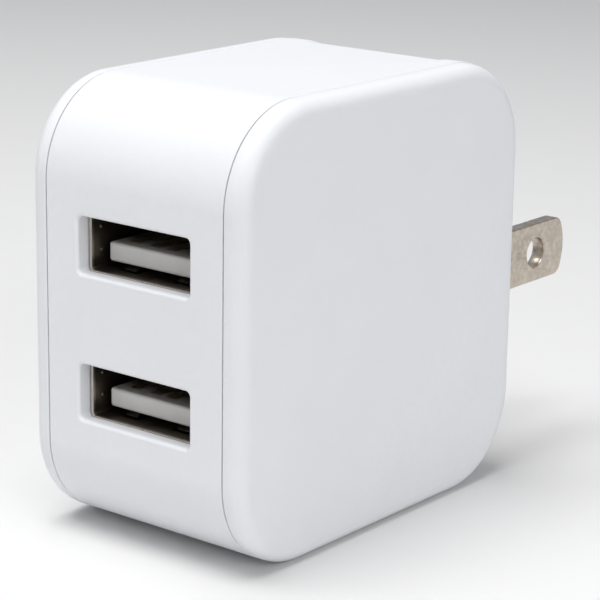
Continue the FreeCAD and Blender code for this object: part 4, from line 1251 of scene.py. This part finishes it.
def solder_tree():
    """A concave cone of solder round every leg, each a little different in size."""
    group, tree, given, sink = geometry_group("solder joints", ["Radius", "Height"], ["Seed"], True)
    high = given["Height"]
    corners = [(0.0, 0.0), (0.0, given["Radius"])]
    for share, rise in ((0.72, 0.16), (0.55, 0.36), (0.46, 0.62), (0.40, 0.9), (0.22, 1.0)):
        corners.append((tree.maths("MULTIPLY", high, rise), tree.maths("MULTIPLY", given["Radius"], share)))
    corners.append((high, 0.0))
    joint = turned_profile(tree, corners, given["Radius"])
    size = tree.add("FunctionNodeRandomValue", {2: 0.88, 3: 1.1, "Seed": given["Seed"]}, data_type="FLOAT")
    scale = tree.spot(X=size.outputs[1], Y=size.outputs[1], Z=1.0)
    spread = tree.add("GeometryNodeInstanceOnPoints", {"Points": given["Points"], "Instance": joint,
                                                       "Rotation": given["Turn"], "Scale": scale})
    colour_and_end(tree, spread.outputs[0], given, sink)
    return group


pin_grid = pin_grid_tree()
chip_legs = chip_leg_tree()
FACE_X = (0.0, math.radians(90), 0.0)
FACE_MINUS_X = (0.0, math.radians(-90), 0.0)


def pins(name, start_x, end_x, y, z, count_y=1, count_z=1, pitch_y=2.5, pitch_z=2.5):
    """Round legs along X, centred on (y, z)."""
    values = {"Radius": LEG_RADIUS * MM, "Length": (end_x - start_x) * MM, "Tip": 0.08 * MM,
              "Pitch Y": pitch_y * MM, "Pitch Z": pitch_z * MM, "Count Y": count_y, "Count Z": count_z,
              "Turn": FACE_X, "Place": (start_x * MM, y * MM, z * MM), "Material": materials["tinned_leg"]}
    return smooth(outward(grown(name, pin_grid, values)), 40)


def standing_legs(node, y, z, into, count_y, count_z):
    """A standing part's legs, from behind the board to a little way into the part."""
    rides(pins(node + "_legs", LEG_END, PART_X + into, y, z, count_y, count_z), "housing")


def standing_place(y, z):
    """Puts a turned part's axis along X at (y, z)."""
    return lambda a, b, c: (a, y + b, z + c)


def build_can(node, radius):
    """A capacitor: crimped can with rolled lip and scored top, sleeved or bare, on two legs."""
    low, high = box_mm(node)
    y, z = centre_yz(low, high)
    end, base = high.x, PART_X
    crimp = [(base + 1.6 + 0.4 * math.cos(t), radius - 0.32 * math.sin(t))
             for t in (math.pi * (1 - step / 8) for step in range(9))]
    lip = [(end - 0.5 + 0.5 * math.sin(t), radius - 0.5 + 0.5 * math.cos(t))
           for t in (math.pi / 2 * step / 6 for step in range(7))]
    profile = [(base + 0.3, 0), (base + 0.3, radius - 1.2), (base, radius - 0.9), (base, radius - 0.4),
               (base + 0.12, radius - 0.1), (base + 0.4, radius)]
    profile += crimp + lip + [(end, radius - 0.9), (end - 0.06, radius - 1.0), (end - 0.15, radius - 1.02),
                              (end - 0.15, 0)]
    place = standing_place(y, z)
    sleeve = merged(node + "_sleeve", [lathe("sleeve", profile, place, 64)], slots[node])
    stand_for(smooth(sleeve, 40), "housing", node)
    top = lathe("top", [(end - 0.4, 0), (end - 0.4, radius - 1.03), (end - 0.13, radius - 1.03),
                        (end - 0.08, radius - 1.12), (end - 0.08, 0)], place, 64)
    reach = radius * 0.55
    for a, b in ((reach, 0.09), (0.09, reach)):
        carve(top, block("score", end - 0.16, end + 1, y - a, y + a, z - b, z + b))
    rides(smooth(merged(node + "_top", [top], "can_aluminium")), "housing")
    standing_legs(node, y, z, 0.4, 1, 2)


def build_disc_capacitor():
    """A dipped disc that stands on edge, with a run of coating down each leg."""
    low, high = box_mm("y_capacitor")
    y, z = centre_yz(low, high)
    radius, half = (high.y - low.y) / 2, (high.z - low.z) / 2
    x = high.x - radius
    turns = [math.pi * step / 24 for step in range(25)]
    profile = [(z - half * math.cos(t), radius * max(0.0, math.sin(t)) ** 0.45) for t in turns]
    parts = [lathe("disc", profile, lambda a, b, c: (x + b, y + c, a), 64)]
    run = [(PART_X + along, width)
           for along, width in ((0.02, 0), (0.02, 0.38), (0.3, 0.5), (0.9, 0.85), (0.9, 0))]
    for side in (-1.25, 1.25):
        parts.append(lathe("run", run, standing_place(y + side, z), 24))
    piece = merged("y_capacitor_dipped", parts, "disc_blue")
    stand_for(smooth(piece, 40), "housing", "y_capacitor")
    standing_legs("y_capacitor", y, z, 0.5, 2, 1)


def build_transformer():
    build_core()
    build_bobbin()
    build_winding()
    low, high = box_mm("transformer_pins")
    y, z = centre_yz(*box_mm("transformer_core"))
    piece = pins("transformer_pins_drawn", low.x, high.x, y, z, 3, 2, 2.5, high.z - low.z - 2 * LEG_RADIUS)
    stand_for(piece, "housing", "transformer_pins")


def build_core():
    """A ground ferrite core: two windows round a middle limb, and the line where its halves meet."""
    low, high = box_mm("transformer_core")
    y, z = centre_yz(low, high)
    core = outward(block("core", low.x, high.x, low.y, high.y, low.z, high.z))
    for side in (-1, 1):
        y0, y1 = sorted((y + side * 1.45, y + side * (6.5 - 1.6)))
        carve(core, block("window", low.x - 1, high.x + 1, y0, y1, z - 4.1, z + 4.1))
    soften(core, 0.18, 2)
    for side in (-1, 1):
        y0, y1 = sorted((y + side * 6.44, y + side * 7))
        carve(core, block("split", low.x - 1, high.x + 1, y0, y1, z - 0.04, z + 0.04))
    piece = merged("transformer_core_ground", [core], "ferrite")
    stand_for(smooth(piece), "housing", "transformer_core")


def build_bobbin():
    """A tube with two flanges and the rails that hold the pins."""
    low, high = box_mm("transformer_bobbin")
    y, z = centre_yz(*box_mm("transformer_core"))
    x = (low.x + high.x) / 2
    tube_end, flange_start = 4.05, 3.15
    bobbin = outward(block("tube", x - 3.65, x + 3.65, y - 2.1, y + 2.1, z - tube_end, z + tube_end))
    for side in (-1, 1):
        z0, z1 = sorted((z + side * tube_end, z + side * flange_start))
        carve(bobbin, block("flange", low.x, high.x, low.y, high.y, z0, z1), "UNION")
        z0, z1 = sorted((z + side * flange_start, z + side * 6.5))
        carve(bobbin, block("rail", low.x, x - 3.65, low.y, high.y, z0, z1), "UNION")
    carve(bobbin, block("bore", x - 3.05, x + 3.05, y - 1.5, y + 1.5, z - 9, z + 9))
    soften(bobbin, 0.12, 2)
    piece = merged("transformer_bobbin_moulded", [bobbin], "bobbin_black")
    stand_for(smooth(piece), "housing", "transformer_bobbin")


def build_winding():
    """The taped coil: two laps of tape show as shallow steps, and the tape's end as a flap."""
    low, high = box_mm("transformer_winding")
    y, z = centre_yz(*box_mm("transformer_core"))
    bobbin_low, bobbin_high = box_mm("transformer_bobbin")
    x = (bobbin_low.x + bobbin_high.x) / 2
    half = [(0.55, 0.04), (0.6, 0.0), (0.94, 0.08), (1.0, 0.25)]
    steps = [(-level, shrink) for level, shrink in reversed(half)] + [(0.0, 0.0)] + half
    rings = []
    for level, shrink in steps:
        outline = rounded_outline((low.x + shrink, low.y + shrink), (high.x - shrink, high.y - shrink),
                                  [2.1] * 4, 8)
        rings.append([(a, b, z + level * (high.z - low.z) / 2) for a, b in outline])
    coil = outward(mesh_piece("coil", *loft(rings)))
    carve(coil, block("bore", x - 3.7, x + 3.7, y - 2.15, y + 2.15, z - 9, z + 9))
    flap = box_piece("flap", high.x - 0.05, high.x + 0.05, y - 1.6, y + 1.9, z - 3.0, z + 3.0, 0.03)
    piece = merged("transformer_winding_taped", [coil, flap], "winding_tape")
    stand_for(smooth(piece), "housing", "transformer_winding")


def build_choke():
    """A drum choke: two flanges and a ribbed sleeve between them."""
    y, z = centre_yz(*box_mm("filter_choke"))
    ribs = [(1.0 + 5.5 * step / 24, 2.12 + 0.1 * math.sin(math.pi * step / 24) + 0.05 * (step % 2))
            for step in range(25)]
    profile = [(0.0, 0), (0.0, 2.45), (0.1, 2.62), (0.25, 2.7), (0.75, 2.7), (0.95, 2.6)]
    profile += ribs + [(6.55, 2.6), (6.75, 2.7), (7.25, 2.7), (7.4, 2.62), (7.5, 2.45), (7.5, 0)]
    drum = lathe("drum", [(PART_X + along, radius) for along, radius in profile], standing_place(y, z), 56)
    piece = merged("filter_choke_sleeved", [drum], "choke_sleeve")
    stand_for(smooth(piece, 45), "housing", "filter_choke")
    standing_legs("filter_choke", y, z, 0.5, 1, 2)


def build_fuse():
    """A coated barrel that lies along Y, with three bands and bent legs."""
    y, z = centre_yz(*box_mm("input_fuse"))
    x = PART_X + 1.4
    half = [(3.0, 0), (3.0, 0.7), (2.92, 1.0), (2.7, 1.28), (2.35, 1.39), (1.95, 1.36), (1.6, 1.26),
            (1.3, 1.22)]
    profile = [(y - a, r) for a, r in half] + [(y + a, r) for a, r in reversed(half)]

    def lying_place(a, b, c):
        return (x + b, a, z + c)

    barrel = merged("input_fuse_coated", [lathe("barrel", profile, lying_place, 40)], "fuse_green")
    stand_for(smooth(barrel, 45), "housing", "input_fuse")
    for number, slot in enumerate(("lead_black", "spring_bronze", "lead_black")):
        middle = y + 0.75 * (number - 1)
        ring = [(middle - 0.2, 1.0), (middle - 0.2, 1.235), (middle + 0.2, 1.235), (middle + 0.2, 1.0)]
        band = merged("input_fuse_band_%d" % number, [lathe("band", ring, lying_place, 40)], slot)
        rides(smooth(band, 40), "housing")
    parts = []
    for side in (-1, 1):
        bend_y = y + side * 3.6
        path = rounded_path([(LEG_END, bend_y, z), (x, bend_y, z), (x, y + side * 2.8, z)], 0.6, 8)
        parts.append(tube("leg", path, LEG_RADIUS, 16))
    rides(smooth(merged("input_fuse_legs", parts, "tinned_leg"), 40), "housing")


def build_chip(node, count):
    """A surface-mounted package: drafted sides, first-pin dimple, gull-wing legs."""
    low, high = box_mm(node)
    y, z = centre_yz(low, high)
    reach, stand = 1.0, 0.2
    half_y, half_z = (high.y - low.y) / 2 - reach, (high.z - low.z) / 2
    height = high.x - low.x - stand
    rings = []
    for rise, draw in ((0.0, 0.12), (height * 0.42, 0.0), (height * 0.58, 0.0), (height, 0.16)):
        x = high.x - stand - rise
        rings.append([(x, y + a * (half_y - draw), z + b * (half_z - draw))
                      for a, b in ((-1, -1), (1, -1), (1, 1), (-1, 1))])
    body = soften(outward(mesh_piece("body", *loft(rings))), 0.07, 2, angle=8)
    dimple_y, dimple_z = y - half_y + 0.7, z - half_z + 0.7
    carve(body, bar_x("dimple", low.x - 1, low.x + 0.08, dimple_y, dimple_z, 0.32, 24))
    stand_for(smooth(merged(node + "_moulded", [body], "chip_black")), "housing", node)
    values = {"Half Width": half_y * MM, "Rise": (stand + height / 2) * MM, "Reach": reach * MM,
              "Width": 0.42 * MM, "Thickness": 0.18 * MM, "Pitch": 2 * half_z / count * MM, "Count": count,
              "Turn": FACE_MINUS_X, "Place": (high.x * MM, y * MM, z * MM),
              "Material": materials["tinned_leg"]}
    rides(smooth(outward(grown(node + "_legs", chip_legs, values))), "housing")


def build_small_parts():
    """Eight small fired parts in two rows, each with two metal ends."""
    low, high = box_mm("small_parts")
    bodies, ends = [], []
    for row in range(4):
        y = low.y + 1.0 + row * 3.2
        for z in (low.z + 0.6, high.z - 0.6):
            bodies.append(box_piece("body", low.x + 0.03, high.x - 0.03, y - 0.7, y + 0.7,
                                    z - 0.57, z + 0.57))
            for side in (-1, 1):
                y0, y1 = sorted((y + side * 0.62, y + side))
                ends.append(box_piece("cap", low.x, high.x, y0, y1, z - 0.6, z + 0.6))
    piece = merged("small_parts_fired", bodies, "small_part_tan")
    stand_for(smooth(piece), "housing", "small_parts")
    rides(smooth(merged("small_parts_ends", ends, "tinned_leg")), "housing")


def hole_loops(edges):
    """The closed loops that these edges make, each as a list of points in millimetres."""
    links = {}
    for edge in edges:
        a, b = edge.verts
        links.setdefault(a, []).append(b)
        links.setdefault(b, []).append(a)
    loops, seen = [], set()
    for start in links:
        if start in seen:
            continue
        loop, queue = [], [start]
        seen.add(start)
        while queue:
            vert = queue.pop()
            loop.append(vert.co / MM)
            for other in links[vert]:
                if other not in seen:
                    seen.add(other)
                    queue.append(other)
        loops.append(loop)
    return loops


def hole_centres(piece, x):
    """Centres of the small holes that open in the plane at this X, in millimetres."""
    centres = []
    with edited(piece) as edit:
        rim = [e for e in edit.edges if all(near(v.co.x / MM, x) for v in e.verts)
               and any(abs(f.normal.x) < 0.1 for f in e.link_faces)]
        for loop in hole_loops(rim):
            ys, zs = [p.y for p in loop], [p.z for p in loop]
            if max(max(ys) - min(ys), max(zs) - min(zs)) < 2.0:
                centres.append((x, (max(ys) + min(ys)) / 2, (max(zs) + min(zs)) / 2))
    return sorted(centres, key=lambda c: (round(c[1], 3), round(c[2], 3)))


def build_board():
    """The drilled board with its faces merged, and the solder on its outer side."""
    source = frame["nodes"]["circuit_board"]
    mesh = source.data.copy()
    mesh.transform(source.matrix_world)
    board = place_object("circuit_board_drilled", mesh, "board_green")
    with edited(board) as edit:
        bmesh.ops.remove_doubles(edit, verts=edit.verts, dist=0.001 * MM)
        bmesh.ops.dissolve_limit(edit, angle_limit=math.radians(1), verts=edit.verts, edges=edit.edges)
    centres = hole_centres(board, board_low.x)
    stand_for(smooth(outward(board)), "housing", "circuit_board")
    values = {"Radius": 0.62 * MM, "Height": 0.62 * MM, "Seed": 4, "Turn": FACE_MINUS_X,
              "Material": materials["tinned_leg"]}
    solder = grow(mesh_piece("circuit_board_solder", centres, []), solder_tree(), values)
    rides(smooth(outward(solder), 50), "housing")


def build_sheet():
    """The insulating sheet, cut to the housing's side outline less its inset."""
    low, high = box_mm("insulation_sheet")
    sheet = outward(plate("sheet", side_outline(low.y - FRONT_Y), low.x, high.x))
    soften(sheet, 0.05, 2)
    piece = merged("insulation_sheet_cut", [sheet], "sheet_amber")
    stand_for(smooth(piece), "housing", "insulation_sheet")


build_board()
for can, can_radius in (("input_capacitor_upper", 4.0), ("input_capacitor_lower", 4.0),
                        ("output_capacitor_front", 3.15), ("output_capacitor_rear", 3.15)):
    build_can(can, can_radius)
build_disc_capacitor()
build_transformer()
build_choke()
build_fuse()
for chip, legs_a_side in (("control_chip", 4), ("output_rectifier_chip", 4), ("opto_coupler", 2),
                          ("bridge_rectifier", 2)):
    build_chip(chip, legs_a_side)
build_small_parts()
build_sheet()
